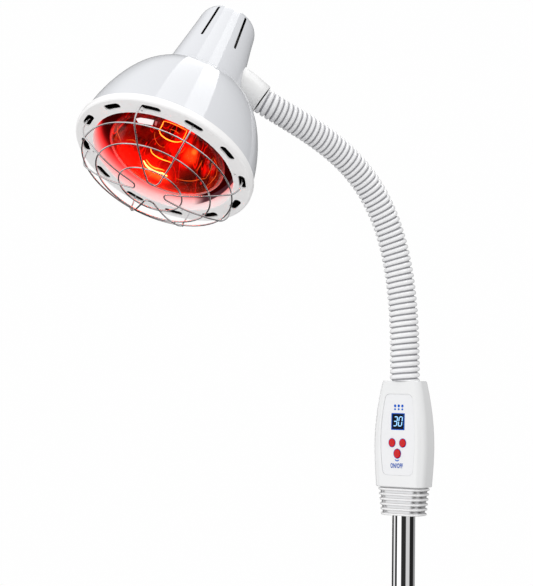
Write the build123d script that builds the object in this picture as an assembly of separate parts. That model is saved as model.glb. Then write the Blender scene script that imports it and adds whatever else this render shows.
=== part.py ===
from build123d import *
import math
import os

os.makedirs("parts", exist_ok=True)

# Free-standing infrared lamp. Millimetres, +Z up, floor at Z = 0, mast on the Z axis,
# control panel facing -Y.

ZC = 525.0   # underside of the ribbed collar
ZB = 556.0   # underside of the control box
ZT = 671.0   # top of the control box


def save(name, *shapes):
    solids = []
    for s in shapes:
        solids += list(s.solids())
    body = solids[0] if len(solids) == 1 else Compound(children=solids)
    export_step(body, "parts/" + name + ".step")
    print(name, len(solids), round(sum(s.volume for s in solids), 1))


def ring(ro, ri, z0, z1):
    return Pos(0, 0, (z0 + z1) / 2) * (Cylinder(ro, z1 - z0) - Cylinder(ri, z1 - z0 + 2))


def disc(r, z0, z1, x=0.0, y=0.0):
    return Pos(x, y, (z0 + z1) / 2) * Cylinder(r, z1 - z0)


def rev_poly(pts):
    face = Plane.XZ * make_face(Polyline(*pts, close=True))
    return revolve(face, Axis.Z)


def offset_pts(pts, t):
    out = []
    for i, p in enumerate(pts):
        a = pts[max(i - 1, 0)]
        b = pts[min(i + 1, len(pts) - 1)]
        dx, dy = b[0] - a[0], b[1] - a[1]
        n = math.hypot(dx, dy)
        out.append((p[0] + t * dy / n, p[1] - t * dx / n))
    return out


def rev_shell(outer, t):
    """Thin turned shell: outer profile of (radius, height), wall t to the right of its run."""
    inner = offset_pts(outer, t)
    e = Spline(*outer) + Line(outer[-1], inner[-1]) + Spline(*inner[::-1]) + Line(inner[0], outer[0])
    return revolve(Plane.XZ * make_face(e), Axis.Z)


# ---------------------------------------------------------------- base
cover_top = [(150.0, 3.2), (149.6, 7.5), (146.5, 11.5), (138.0, 14.6), (110.0, 18.6),
             (70.0, 22.6), (40.0, 25.0), (24.0, 26.4), (15.4, 27.0)]
cover_in = [(148.4, 3.2), (148.0, 7.2), (145.2, 10.3), (137.5, 13.0), (109.8, 17.0),
            (69.8, 21.0), (39.9, 23.4), (23.9, 24.8), (15.4, 25.4)]
e = Spline(*cover_top) + Line(cover_top[-1], cover_in[-1]) + Spline(*cover_in[::-1]) + Line(cover_in[0], cover_top[0])
base_cover = revolve(Plane.XZ * make_face(e), Axis.Z)
save("base_cover", base_cover)

base_weight = rev_poly([(6.6, 9.5), (18.0, 9.5), (18.0, 4.6), (140.0, 4.6), (140.0, 9.4), (134.0, 11.6),
                        (108.0, 15.2), (70.0, 18.6), (34.0, 20.0), (15.2, 20.0), (15.2, 17.0), (6.6, 17.0)])
save("base_weight", base_weight)

base_plate = ring(147.0, 20.0, 3.0, 4.5)
for k in range(6):
    base_plate -= Pos(128 * math.cos(math.radians(60 * k)), 128 * math.sin(math.radians(60 * k)), 3.75) * Cylinder(2.5, 3)
save("base_plate", base_plate)

feet = []
for k in range(6):
    x, y = 128 * math.cos(math.radians(60 * k)), 128 * math.sin(math.radians(60 * k))
    pad = disc(11.0, 0.0, 3.0, x, y)
    pad = chamfer(pad.edges().group_by(Axis.Z)[0], 0.8)
    pad += disc(2.45, 2.8, 4.5, x, y)
    feet.append(pad)
save("base_feet", *feet)

washer = ring(16.0, 6.3, 8.0, 9.5)
nut = Pos(0, 0, 5.0) * (extrude(RegularPolygon(10.9, 6), 3.0, both=True) - Cylinder(6.05, 12))
save("base_nut", washer, nut)

# soft cap that closes the hub from below and stands level with the feet
hub_cap = disc(24.0, 0.0, 1.2) + ring(24.0, 20.6, 1.2, 2.95) + ring(17.8, 16.7, 1.2, 7.8)
hub_cap = chamfer(hub_cap.edges().filter_by(GeomType.CIRCLE).group_by(Axis.Z)[0], 0.6)
save("hub_cap", hub_cap)

lower_tube = ring(15.0, 13.8, 17.0, 402.0)
lower_tube += disc(14.2, 17.0, 27.0)
lower_tube += disc(6.0, 1.6, 18.0)
save("lower_tube", lower_tube)

# clamp collar at the head of the lower tube, with a boss for the screw
cc = disc(20.0, 384.0, 426.0)
cc = fillet(cc.edges().filter_by(GeomType.CIRCLE), 2.5)
cc += Pos(21.0, 0, 413.0) * Rot(0, 90, 0) * Cylinder(8.5, 12.0)
cc -= disc(15.02, 383.0, 402.0)
cc -= disc(12.55, 401.0, 430.0)
cc -= Pos(20.0, 0, 413.0) * Rot(0, 90, 0) * Cylinder(4.05, 20.0)
save("clamp_collar", cc)

knob = Rot(0, 90, 0) * Cylinder(17.0, 16.0)
for k in range(8):
    a = math.radians(45 * k)
    knob -= Pos(0, 19.6 * math.cos(a), 19.6 * math.sin(a)) * Rot(0, 90, 0) * Cylinder(4.4, 30.0)
knob = Pos(37.0, 0, 413.0) * knob
knob += Pos(29.0 - 0.6, 0, 413.0) * Rot(0, 90, 0) * Cylinder(9.5, 1.4)
screw_len = 30.0 - 12.85
knob += Pos(12.85 + screw_len / 2, 0, 413.0) * Rot(0, 90, 0) * Cylinder(4.0, screw_len)
save("clamp_knob", knob)

guide_bush = ring(13.74, 12.55, 75.0, 104.0) + ring(13.74, 9.5, 70.0, 75.0)
save("guide_bush", guide_bush)

# ---------------------------------------------------------------- mast and control box
upper_tube = ring(12.5, 11.3, 75.3, 572.0)
save("upper_tube", upper_tube)

BOX = [(0.0, 28.7, 17.0, 9.0), (22.0, 30.3, 17.7, 9.6), (47.0, 31.1, 18.0, 10.0),
       (80.0, 28.7, 17.2, 9.4), (100.0, 25.6, 15.9, 8.7), (115.0, 22.5, 14.4, 8.0)]


def box_at(h):
    for i in range(len(BOX) - 1):
        h0, h1 = BOX[i][0], BOX[i + 1][0]
        if h <= h1 or i == len(BOX) - 2:
            f = (h - h0) / (h1 - h0)
            return [BOX[i][j] + f * (BOX[i + 1][j] - BOX[i][j]) for j in (1, 2, 3)]


def box_loft(t, z0=0.0, z1=115.0):
    """The box's outside pulled in by t, between heights z0 and z1 above its underside."""
    hs = [z0] + [b[0] for b in BOX[1:-1] if z0 + 6 < b[0] < z1 - 6] + [z1]
    faces = []
    for h in hs:
        a, b, r = box_at(h)
        faces.append(Pos(0, 0, ZB + h) * RectangleRounded(2 * (a - t), 2 * (b - t), r - min(t, 3.0)))
    return loft(Sketch() + faces)


def panel_prism(grow, y0, y1):
    """Barrel-shaped outline of the keypad, run along Y."""
    hw = [(13.2, 17.0), (30.0, 18.9), (48.0, 19.8), (70.0, 19.1), (88.0, 17.1), (100.6, 15.2)]
    right = [(w + grow, z + ZB + (grow if i == 5 else (-grow if i == 0 else 0))) for i, (z, w) in enumerate(hw)]
    left = [(-x, z) for x, z in right[::-1]]
    e = Spline(*right) + Line(right[-1], left[0]) + Spline(*left) + Line(left[-1], right[0])
    sk = make_face(e)
    sk = fillet(sk.vertices(), 5.5)
    body = extrude(Plane.XZ * sk, 1.0)
    bb = body.bounding_box()
    face = Plane.XZ * sk
    return Pos(0, y1, 0) * extrude(face, y1 - y0)


PY = 1.5                      # parting plane of the two shells
outer = box_loft(0.0)
try:
    outer = fillet(outer.edges().group_by(Axis.Z)[-1] + outer.edges().group_by(Axis.Z)[0], 1.6)
except Exception:
    print("plain box edges")
inner = box_loft(2.2, 2.2, 112.8)
skin1 = box_loft(0.9)
skin05 = box_loft(0.4)
front_half = Pos(0, PY - 50.0, ZB + 57.5) * Box(160, 100, 200)
rear_half = Pos(0, PY + 50.0, ZB + 57.5) * Box(160, 100, 200)

BTN = {"button_left": (-6.6, 48.0, 3.6, 4.4), "button_right": (6.0, 48.0, 3.6, 4.4), "button_power": (-0.3, 36.4, 3.9, 4.8)}
bosses_r = [(-20.5, 9.5), (20.5, 9.5), (-15.0, 103.0), (15.0, 103.0)]

shell = outer - inner
front = (shell & front_half)
front -= (panel_prism(0.25, -30.0, -2.0) - skin1)
for x, h in [(-17.0, 30.0), (17.0, 30.0), (-17.0, 90.0), (17.0, 90.0)]:
    front += (Pos(x, -13.4, ZB + h) * Rot(90, 0, 0) * Cylinder(2.6, 10.0)) & box_loft(1.6)
for x, h in bosses_r:
    front += (Pos(x, -9.25, ZB + h) * Rot(90, 0, 0) * Cylinder(3.4, 21.5)) & box_loft(1.2, 0.6, 114.4)
front -= Pos(0, 0, 0) * disc(12.6, ZB - 1, ZB + 4)
front -= disc(10.75, ZT - 5, ZT + 1)
front -= Pos(0, -14.0, ZB + 71.0) * Box(15.9, 12.0, 18.1)
for n, (x, h, a, b) in BTN.items():
    front -= Pos(x, -10.0, ZB + h) * (extrude(Plane.XZ * Ellipse(a + 0.45, b + 0.45), 20.0))
for x, h in bosses_r:
    front -= Pos(x, 0.0, ZB + h) * Rot(90, 0, 0) * Cylinder(1.5, 19.0)
save("front_shell", front)

rear = (shell & rear_half)
for x, h in bosses_r:
    rear += (Pos(x, PY + 8.5, ZB + h) * Rot(90, 0, 0) * Cylinder(4.2, 17.0)) & box_loft(0.8, 0.6, 114.4) & rear_half
rear -= disc(12.6, ZB - 1, ZB + 4)
rear -= disc(10.75, ZT - 5, ZT + 1)
for x, h in bosses_r:
    rear -= Pos(x, 10.0, ZB + h) * Rot(90, 0, 0) * Cylinder(1.65, 30.0)
    rear -= Pos(x, 12.0 + 10.0, ZB + h) * Rot(90, 0, 0) * Cylinder(3.1, 20.0)
rear -= Pos(0, 18.0, ZB + 30.0) * Rot(90, 0, 0) * Cylinder(5.55, 12.0)
save("rear_shell", rear)

screws = []
for x, h in bosses_r:
    s = Pos(x, 3.2, ZB + h) * Rot(90, 0, 0) * Cylinder(1.5, 17.6)
    s += Pos(x, 12.9, ZB + h) * Rot(90, 0, 0) * Cylinder(2.8, 1.8)
    s -= Pos(x, 13.6, ZB + h) * (Box(0.7, 1.0, 3.6) + Box(3.6, 1.0, 0.7))
    screws.append(s)
save("shell_screws", *screws)

panel = panel_prism(0.0, -30.0, -2.0) & (skin05 - skin1)
panel -= Pos(0, -14.0, ZB + 71.0) * Box(15.9, 30.0, 18.1)
for n, (x, h, a, b) in BTN.items():
    panel -= Pos(x, 5.0, ZB + h) * (extrude(Plane.XZ * Ellipse(a + 0.45, b + 0.45), 40.0))
save("keypad_panel", panel)

window = (Pos(0, -18.0, ZB + 71.0) * Box(15.7, 12.0, 17.9)) & (box_loft(0.3) - box_loft(1.9))
save("display_window", window)

module = Pos(0, -11.85, ZB + 71.0) * Box(15.0, 6.9, 17.2)
for x in (-3.6, 3.6):
    for dz in (-3.1, 3.1):
        module -= Pos(x, -15.2, ZB + 71.0 + dz) * Box(3.4, 0.6, 4.0)
save("display_module", module)

board = Pos(0, -7.6, ZB + 60.0) * Box(41.0, 1.6, 76.0)
save("control_board", board)

tacts = []
for n, (x, h, a, b) in BTN.items():
    t = Pos(x, -9.4, ZB + h) * Box(6.0, 2.0, 6.0)
    t += Pos(x, -10.7, ZB + h) * Rot(90, 0, 0) * Cylinder(1.6, 0.7)
    tacts.append(t)
save("tact_switches", *tacts)

for n, (x, h, a, b) in BTN.items():
    face = Plane.XZ * Ellipse(a, b)
    cap = Pos(x, -14.2, ZB + h) * extrude(face, 4.5)
    cap = fillet(cap.edges().group_by(Axis.Y)[0], 0.7)
    fl = Pos(x, -14.2, ZB + h) * extrude(Plane.XZ * Ellipse(a + 1.1, b + 0.85), 1.0)
    st = Pos(x, -13.2, ZB + h) * Rot(90, 0, 0) * Cylinder(1.5, 2.2)
    save(n, cap + fl + st)

# power board with relay, transformer, fuse and capacitor
pb = Pos(0, 3.4, ZB + 58.0) * Box(42.0, 1.6, 66.0)
pb += Pos(-9.5, 8.6, ZB + 72.0) * Box(17.0, 9.0, 18.0)
pb += Pos(11.0, 8.4, ZB + 74.0) * Box(16.0, 8.6, 15.0)
pb += Pos(11.0, 8.2, ZB + 53.0) * Rot(90, 0, 0) * Cylinder(5.0, 8.2)
pb += Pos(-10.0, 6.9, ZB + 53.0) * Rot(0, 90, 0) * Cylinder(2.8, 18.0)
save("power_board", pb)

tb = Pos(0, 7.7, ZB + 38.5) * Box(30.0, 6.6, 8.0)
for k in range(4):
    tb -= Pos(-11.25 + 7.5 * k, 10.6, ZB + 38.5) * Rot(90, 0, 0) * Cylinder(2.0, 2.6)
save("terminal_block", tb)

br = ring(14.2, 12.5, ZB + 2.2, ZB + 15.0)
save("tube_socket", br)

nn = Pos(0, 0, ZT - 6.4) * Rot(0, 0, 30) * (extrude(RegularPolygon(13.2, 6), 2.6, both=True) - Cylinder(10.55, 12))
nn = nn & (Pos(0, 0, ZT - 6.4) * Box(27.0, 22.4, 20.0))
save("neck_nut", nn)

gland = Pos(0, 21.0, ZB + 30.0) * Rot(90, 0, 0) * (Cylinder(5.4, 12.0) - Cylinder(3.4, 20.0))
gland += Pos(0, 19.5, ZB + 30.0) * Rot(90, 0, 0) * (Cylinder(7.0, 2.4) - Cylinder(5.0, 6.0))
gland += Pos(0, 26.0, ZB + 30.0) * Rot(90, 0, 0) * (Cone(5.8, 4.4, 6.0, rotation=(0, 0, 0)) - Cylinder(3.4, 20.0))
save("cable_gland", gland)

# ribbed collar under the box: oval, tapering down, six round ribs


def collar_at(z, t=0.0):
    f = (z - ZC) / (ZB - ZC)
    a = 24.3 + f * (27.6 - 24.3)
    b = 17.2 + f * (16.7 - 17.2)
    r = 14.0 - f * 2.0
    return RectangleRounded(2 * (a - t), 2 * (b - t), r - t)


core = loft(Sketch() + [Pos(0, 0, ZC + 0.6) * collar_at(ZC, 2.3), Pos(0, 0, ZB) * collar_at(ZB, 2.3)])
collar = core
for k in range(6):
    zc = ZC + 1.75 + 5.35 * k
    rib = extrude(Pos(0, 0, zc - 1.2) * collar_at(zc), 2.4)
    rib = fillet(rib.edges().filter_by(lambda q: abs(q.center().Z - zc) > 0.9), 1.1)
    collar += rib
collar -= disc(12.55, ZC - 2, ZB + 2)
save("ribbed_collar", collar)

# ---------------------------------------------------------------- gooseneck
BZ = [(0.0, 0.0, 0.0), (0.0, 0.0, 97.35), (-6.92, 2.37, 190.61), (-35.96, -24.36, 249.91),
      (-66.0, -102.58, 263.5), (-104.47, -140.23, 294.62)]


def bez(t):
    p = [0.0, 0.0, 0.0]
    q = [0.0, 0.0, 0.0]
    for i in range(6):
        c = math.comb(5, i) * (1 - t) ** (5 - i) * t ** i
        for j in range(3):
            p[j] += c * BZ[i][j]
    for i in range(5):
        c = 5 * math.comb(4, i) * (1 - t) ** (4 - i) * t ** i
        for j in range(3):
            q[j] += c * (BZ[i + 1][j] - BZ[i][j])
    n = math.sqrt(q[0] ** 2 + q[1] ** 2 + q[2] ** 2)
    return Vector(p[0], p[1], p[2] + ZT), Vector(q[0] / n, q[1] / n, q[2] / n)


NT = 4000
TAB = [0.0]
prev = bez(0.0)[0]
for i in range(1, NT + 1):
    cur = bez(i / NT)[0]
    TAB.append(TAB[-1] + (cur - prev).length)
    prev = cur
LEN = TAB[-1]


def at(s):
    """Point and direction on the gooseneck's centre line, s millimetres along it."""
    s = max(0.0, min(LEN, s))
    lo, hi = 0, NT
    while hi - lo > 1:
        m = (lo + hi) // 2
        if TAB[m] < s:
            lo = m
        else:
            hi = m
    f = (s - TAB[lo]) / (TAB[hi] - TAB[lo])
    return bez((lo + f) / NT)


def run(s0, s1, n=7):
    pts, tans = [], []
    for i in range(n):
        p, t = at(s0 + (s1 - s0) * i / (n - 1))
        pts.append(p)
        tans.append(t)
    return Spline(*pts, tangents=[tans[0], tans[-1]])


def tube(s0, s1, ro, ri):
    p, t = at(s0)
    sec = Plane(origin=p, z_dir=t) * (Circle(ro) - Circle(ri))
    return sweep(sec, path=run(s0, s1))


def rod(s0, s1, r):
    p, t = at(s0)
    return sweep(Plane(origin=p, z_dir=t) * Circle(r), path=run(s0, s1))


def bead_r(s):
    return 16.38 - 0.0051 * s


def bead(r):
    e = Polyline((r - 1.7, -1.7), (12.4, -1.7), (12.4, 1.7), (r - 1.7, 1.7)) + ThreePointArc((r - 1.7, 1.7), (r, 0.0), (r - 1.7, -1.7))
    return revolve(Plane.XZ * make_face(e), Axis.Z)


ribs = []
s = 3.0
while s < LEN - 1.6:
    ribs.append(s)
    s += 6.45 - 0.0019 * s
JS = [36.0, 97.0, 158.0, 219.0, 280.0, 341.0]
GAP = 4.2
print("gooseneck", round(LEN, 2), "ribs", len(ribs))
for j in JS:
    p, t = at(j)
    print("joint", j, [round(v, 3) for v in p.to_tuple()], [round(v, 5) for v in t.to_tuple()])
p, t = at(LEN)
print("end", [round(v, 3) for v in p.to_tuple()], [round(v, 5) for v in t.to_tuple()])

edges_s = [0.0] + JS + [LEN]
for k in range(7):
    a = edges_s[k] + (GAP if k else 0.0)
    b = edges_s[k + 1] - (GAP if k < 6 else 0.0)
    mid = bead_r((a + b) / 2)
    body = tube(a, b, mid - 2.0, 10.7)
    v0 = body.volume
    beads = []
    for q in ribs:
        if a + 1.4 < q < b - 1.4:
            pp, tt = at(q)
            beads.append(Plane(origin=pp, z_dir=tt).location * bead(bead_r(q)))
    for bd in beads:
        body += bd
    print("  sleeve", k, "tube", round(v0), "beads", len(beads), "fused", round(body.volume))
    save("sleeve_%d" % k, body)

for k in range(7):
    a = edges_s[k]
    b = edges_s[k + 1]
    parts = None
    if k == 0:
        core = tube(0.0, b - 8.4, 10.3, 8.6)
        core += ring(10.3, 8.6, ZT - 11.5, ZT + 0.5)
    elif k < 6:
        core = tube(a + 8.0, b - 8.4, 10.3, 8.6)
    else:
        core = tube(a + 8.0, b, 10.3, 8.6)
    if k < 6:
        p, t = at(b)
        f = Plane(origin=p, z_dir=-t)
        # end disc, stem and ball; measured back from the joint centre
        m = Pos(0, 0, 9.4) * Cylinder(9.9, 2.0) + Pos(0, 0, 5.2) * Cylinder(3.4, 9.0) + Sphere(6.5)
        m -= Cylinder(2.0, 60.0)
        core += f.location * m
    if k > 0:
        p, t = at(a)
        f = Plane(origin=p, z_dir=t)
        cup = Sphere(9.5) - Sphere(6.9)
        cup -= Pos(0, 0, -10.0) * Cone(25.0, 0.01, 20.0, align=(Align.CENTER, Align.CENTER, Align.CENTER))
        cup += Pos(0, 0, 8.6) * (Cylinder(9.9, 2.4) - Cylinder(3.0, 6.0))
        cup -= Pos(0, 0, 8.0) * Cylinder(3.0, 12.0)
        core += f.location * cup
    save("conduit_%d" % k, core)

# ---------------------------------------------------------------- lamp head
CR = Vector(-158.64, -244.64, 216.52 + ZT)
U = Vector(0.8963, 0.3418, -0.2826)
BACK = Vector(0.06327, 0.5322, 0.84425)
HP = Plane(origin=CR, x_dir=U, z_dir=BACK)


def head(shape):
    return HP.location * shape


GE = Vector(-104.47, -140.23, 294.62 + ZT)
GD = Vector(-0.6774, -0.4617, 0.5726)
CP = Plane(origin=GE, z_dir=GD)

# connector between the gooseneck and the head
con = rev_poly([(8.6, 0.6), (15.6, 0.6), (16.4, 1.8), (18.2, 20.6), (8.05, 20.6), (8.05, 46.0), (5.2, 46.0), (5.2, 19.0), (8.6, 17.0)])
con = CP.location * con
con -= Plane(origin=GE, z_dir=at(LEN)[1]).location * (Pos(0, 0, -10.0) * Cylinder(26.0, 20.2))
save("connector", con)

neck_prof = [(43.0, 104.6), (41.6, 114.0), (39.0, 132.0), (36.4, 150.0), (33.8, 168.0), (31.9, 182.0),
             (30.6, 190.0), (28.2, 194.6), (23.6, 197.6), (16.0, 199.0), (0.0, 199.4)]
neck_in = [(41.2, 104.6), (39.8, 114.0), (37.2, 132.0), (34.6, 150.0), (32.0, 168.0), (30.1, 182.0),
           (28.7, 189.2), (26.4, 192.9), (22.6, 195.4), (15.6, 196.8), (0.0, 197.2)]
e = Spline(*neck_prof) + Line(neck_prof[-1], neck_in[-1]) + Spline(*neck_in[::-1]) + Line(neck_in[0], neck_prof[0])
neck = revolve(Plane.XZ * make_face(e), Axis.Z)
e = Spline(*neck_prof) + Line(neck_prof[-1], (0.0, 104.6)) + Line((0.0, 104.6), neck_prof[0])
neck_solid = revolve(Plane.XZ * make_face(e), Axis.Z)
e = Spline(*neck_in) + Line(neck_in[-1], (0.0, 104.6)) + Line((0.0, 104.6), neck_in[0])
neck_void = revolve(Plane.XZ * make_face(e), Axis.Z)
# foot flange with three screw holes
foot = ring(42.4, 34.0, 104.6, 106.2) & neck_solid
neck += foot
for k in range(3):
    a = math.radians(60 + 120 * k)
    neck -= Pos(37.0 * math.cos(a), 37.0 * math.sin(a), 105.4) * Cylinder(2.0, 4.0)
for k in range(6):
    a = 253 + 60 * k
    s0, s1 = (143.5, 191.0) if k != 2 else (157.0, 191.0)
    cut = Pos(30.0, 0, (s0 + s1) / 2) * Box(34.0, 2.9, s1 - s0 - 2.9)
    cut += Pos(30.0, 0, s0 + 1.45) * Rot(0, 90, 0) * Cylinder(1.45, 34.0)
    cut += Pos(30.0, 0, s1 - 1.45) * Rot(0, 90, 0) * Cylinder(1.45, 34.0)
    neck -= Rot(0, 0, a) * cut
neck = head(neck)
seat = (CP.location * (Pos(0, 0, 30.0) * Cylinder(13.0, 20.0))) & head(neck_void)
seat = seat & (CP.location * (Pos(0, 0, 20.0) * Cylinder(30.0, 38.6)))
neck += seat
neck -= CP.location * (Pos(0, 0, 30.0) * Cylinder(8.6, 40.0))
save("neck_cover", neck)

saddle = CP.location * (Pos(0, 0, 31.0) * Cylinder(18.2, 20.0) - Cylinder(8.12, 90.0))
saddle -= head(neck_solid)
saddle = [q for q in saddle.solids() if q.volume > 200][0]
save("neck_saddle", saddle)

cnut = CP.location * (Pos(0, 0, 42.4) * (extrude(RegularPolygon(12.0, 6), 2.4, both=True) - Cylinder(8.06, 12)))
save("connector_nut", cnut)

shade_prof = [(93.9, 1.7), (93.7, 6.0), (92.6, 14.0), (90.0, 29.0), (84.6, 49.0), (76.6, 69.0), (69.2, 82.0),
              (60.0, 93.0), (51.0, 99.9), (43.6, 103.2)]
bell = rev_shell(shade_prof[::-1], 1.3)
bell += ring(44.2, 32.5, 102.6, 104.5)
for k in range(3):
    a = math.radians(60 + 120 * k)
    bell -= Pos(37.0 * math.cos(a), 37.0 * math.sin(a), 103.5) * Cylinder(2.0, 6.0)
save("shade_bell", head(bell))

# inner reflector between the bulb and the bell; the vent slots open into the gap behind it
ref_out = [(78.0, 4.15), (77.6, 8.0), (76.4, 16.0), (72.8, 31.0), (66.6, 48.0), (58.0, 64.0), (47.6, 78.0), (37.0, 88.5), (30.4, 94.0)]
ref_in = [(77.0, 4.15), (76.6, 8.0), (75.4, 15.9), (71.9, 30.7), (65.7, 47.5), (57.2, 63.4), (47.0, 77.2), (36.5, 87.5), (29.4, 93.2)]
e = Spline(*ref_out) + Line(ref_out[-1], ref_in[-1]) + Spline(*ref_in[::-1]) + Line(ref_in[0], ref_out[0])
inner_reflector = revolve(Plane.XZ * make_face(e), Axis.Z) + ring(30.4, 29.4, 93.0, 101.0)
save("inner_reflector", head(inner_reflector))

scr = []
for k in range(3):
    a = math.radians(60 + 120 * k)
    x, y = 37.0 * math.cos(a), 37.0 * math.sin(a)
    b = Pos(x, y, 104.8) * Cylinder(1.95, 6.0) + Pos(x, y, 101.5) * Cylinder(3.6, 2.1) + Pos(x, y, 107.6) * Cylinder(3.5, 2.6)
    b -= Pos(x, y, 100.7) * Cylinder(1.2, 1.4)
    scr.append(head(b))
save("neck_screws", *scr)

rp = rev_poly([(76.0, 0.0), (93.8, 0.0), (95.2, 0.9), (95.6, 2.4), (95.4, 7.6), (94.1, 7.6), (94.2, 1.5),
               (77.2, 1.5), (77.2, 4.0), (76.0, 4.0)])
for k in range(12):
    a = -4.3 + 30 * k
    cut = Pos(0, 0, 1.0) * extrude(SlotArc(CenterArc((0, 0), 85.7, a - 4.4, 8.8), 7.4), 6.0, both=True)
    rp -= cut
for k in range(4):
    a = math.radians(6.5 + 90 * k - 18.3)
    rp -= Pos(79.6 * math.cos(a), 79.6 * math.sin(a), 1.0) * Cylinder(1.55, 8.0)
save("front_ring", head(rp))

W = 1.0
gr = [(80.8, 17.3), (61.4, 27.4), (34.0, 34.5)]
rings = [head(Pos(0, 0, -h) * Torus(r, W)) for r, h in gr]
save("guard_rings", *rings)

pins = []
for k in range(4):
    m = 6.5 + 90 * k
    sa = math.radians(18.3)

    def P(r, side, h, turn=0.0):
        a = math.radians(m + turn) + side * sa
        return (r * math.cos(a), r * math.sin(a), -h)

    tip = (11.2 * math.cos(math.radians(m)), 11.2 * math.sin(math.radians(m)), -38.7)
    pts = [P(86.6, 1, -3.6, 0.7), P(86.2, 1, 1.0, 0.6), P(86.8, 1, 8.0, 0.3), P(82.6, 1, 18.2), P(61.9, 1, 29.35),
           P(34.0, 1, 36.45), P(17.5, 1, 38.4), tip, P(17.5, -1, 38.4), P(34.0, -1, 36.45), P(61.9, -1, 29.35),
           P(82.6, -1, 18.2), P(85.4, -1, 9.0), P(80.4, -1, 3.0), P(79.6, -1, -3.0)]
    path = Spline(*pts)
    sec = Plane(origin=path @ 0, z_dir=path % 0) * Circle(W)
    pins.append(head(sweep(sec, path=path)))
save("guard_hairpins", *pins)

# bulb: R125 envelope, cap, stem and filament
bulb_out = [(0.0, -8.6), (20.0, -7.6), (38.0, -4.4), (51.0, 0.2), (58.5, 4.6), (62.0, 9.5), (62.4, 14.0),
            (60.6, 22.0), (54.5, 38.0), (46.0, 54.0), (36.0, 71.0), (27.5, 88.0), (21.5, 104.0), (18.6, 120.0),
            (17.6, 134.0), (15.2, 141.0), (13.2, 146.0)]
bulb_in = [(0.0, -7.3), (19.8, -6.3), (37.6, -3.1), (50.3, 1.3), (57.5, 5.5), (60.7, 10.0), (61.0, 13.9),
           (59.3, 21.6), (53.3, 37.4), (44.8, 53.4), (34.9, 70.4), (26.3, 87.5), (20.2, 103.7), (17.3, 119.8),
           (16.3, 133.5), (13.9, 140.5), (11.9, 146.0)]
e = Spline(*bulb_out) + Line(bulb_out[-1], bulb_in[-1]) + Spline(*bulb_in[::-1]) + Line(bulb_in[0], bulb_out[0])
glass = revolve(Plane.XZ * make_face(e), Axis.Z)
save("bulb_glass", head(glass))

cap = ring(13.3, 12.65, 146.1, 168.0) + rev_poly([(13.3, 167.0), (13.3, 168.2), (5.0, 171.5), (0.0, 171.5), (0.0, 170.0), (4.4, 170.0), (12.65, 166.6)])
save("bulb_cap", head(cap))

stem = rev_poly([(0.0, 78.0), (3.2, 78.0), (3.6, 100.0), (6.0, 128.0), (10.6, 146.2), (12.3, 146.2), (12.3, 149.4), (0.0, 149.4)])
save("bulb_stem", head(stem))

fil = []
arc = CenterArc((0, 0, 0), 15.0, 20, 320)
coil = Pos(0, 0, 62.0) * sweep(Plane(origin=arc @ 0, z_dir=arc % 0) * Circle(0.9), path=arc)
wires = coil
for a in (20.0, 340.0, 100.0, 180.0, 260.0):
    c, s_ = math.cos(math.radians(a)), math.sin(math.radians(a))
    p0 = Vector(15.0 * c, 15.0 * s_, 62.0)
    p1 = Vector(2.2 * c, 2.2 * s_, 80.0)
    d = p1 - p0
    rodp = Plane(origin=p0 + d * 0.5, z_dir=d).location * Cylinder(0.45, d.length + 0.3)
    wires += rodp
wires -= rev_poly([(0.0, 78.0), (3.2, 78.0), (3.6, 100.0), (0.0, 100.0)])
save("bulb_filament", head(wires))

sock = rev_poly([(13.4, 150.0), (14.8, 148.6), (14.8, 145.4), (19.0, 145.4), (20.6, 148.0), (20.6, 162.0), (18.6, 166.0), (18.6, 186.0), (0.0, 186.0),
                 (0.0, 172.0), (13.4, 172.0)])
save("lamp_socket", head(sock))

sb = disc(20.0, 186.05, 187.6)
sb += (Pos(0, 0, 186.85) * Box(54.0, 14.0, 1.5))
sb += Pos(26.2, 0, 181.0) * Box(1.6, 14.0, 13.0)
sb += Pos(-26.2, 0, 181.0) * Box(1.6, 14.0, 13.0)
sb -= Pos(0, 0, 187) * Cylinder(4.0, 6.0)
sb = sb & Rot(0, 0, 0) * Pos(0, 0, 150) * Cylinder(27.4, 100)
sb = Rot(0, 0, 43) * sb
save("socket_bracket", head(sb))

bs = []
for k in (0, 1):
    x, y = 12.0 * math.cos(math.radians(43 + 90 + 180 * k)), 12.0 * math.sin(math.radians(43 + 90 + 180 * k))
    bs.append(head(Pos(x, y, 188.5) * Cylinder(2.6, 1.8)))
save("socket_screws", *bs)
print("done")
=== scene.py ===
import math

import bmesh
import bpy
import numpy as np
from mathutils import Matrix, Vector


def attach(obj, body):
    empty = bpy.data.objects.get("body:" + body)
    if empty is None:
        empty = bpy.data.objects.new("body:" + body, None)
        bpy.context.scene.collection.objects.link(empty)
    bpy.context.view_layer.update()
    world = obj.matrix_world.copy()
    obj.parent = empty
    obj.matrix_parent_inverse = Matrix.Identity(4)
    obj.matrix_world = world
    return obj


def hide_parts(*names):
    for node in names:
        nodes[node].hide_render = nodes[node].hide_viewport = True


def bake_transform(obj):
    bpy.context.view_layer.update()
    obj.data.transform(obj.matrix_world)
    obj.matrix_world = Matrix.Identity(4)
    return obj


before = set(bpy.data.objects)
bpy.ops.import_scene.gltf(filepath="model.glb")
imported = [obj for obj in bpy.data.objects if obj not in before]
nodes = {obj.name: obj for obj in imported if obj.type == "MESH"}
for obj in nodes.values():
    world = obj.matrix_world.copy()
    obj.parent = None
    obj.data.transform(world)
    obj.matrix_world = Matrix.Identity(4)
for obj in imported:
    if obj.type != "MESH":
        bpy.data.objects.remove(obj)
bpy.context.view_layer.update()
scene = bpy.context.scene
scene.view_settings.view_transform = "Standard"
scene.view_settings.look = "None"
scene.view_settings.exposure = 0.0
scene.view_settings.gamma = 1.0

MM = 0.001


# ------------------------------------------------------------------ small tools
def link(o):
    scene.collection.objects.link(o)
    return o


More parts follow.
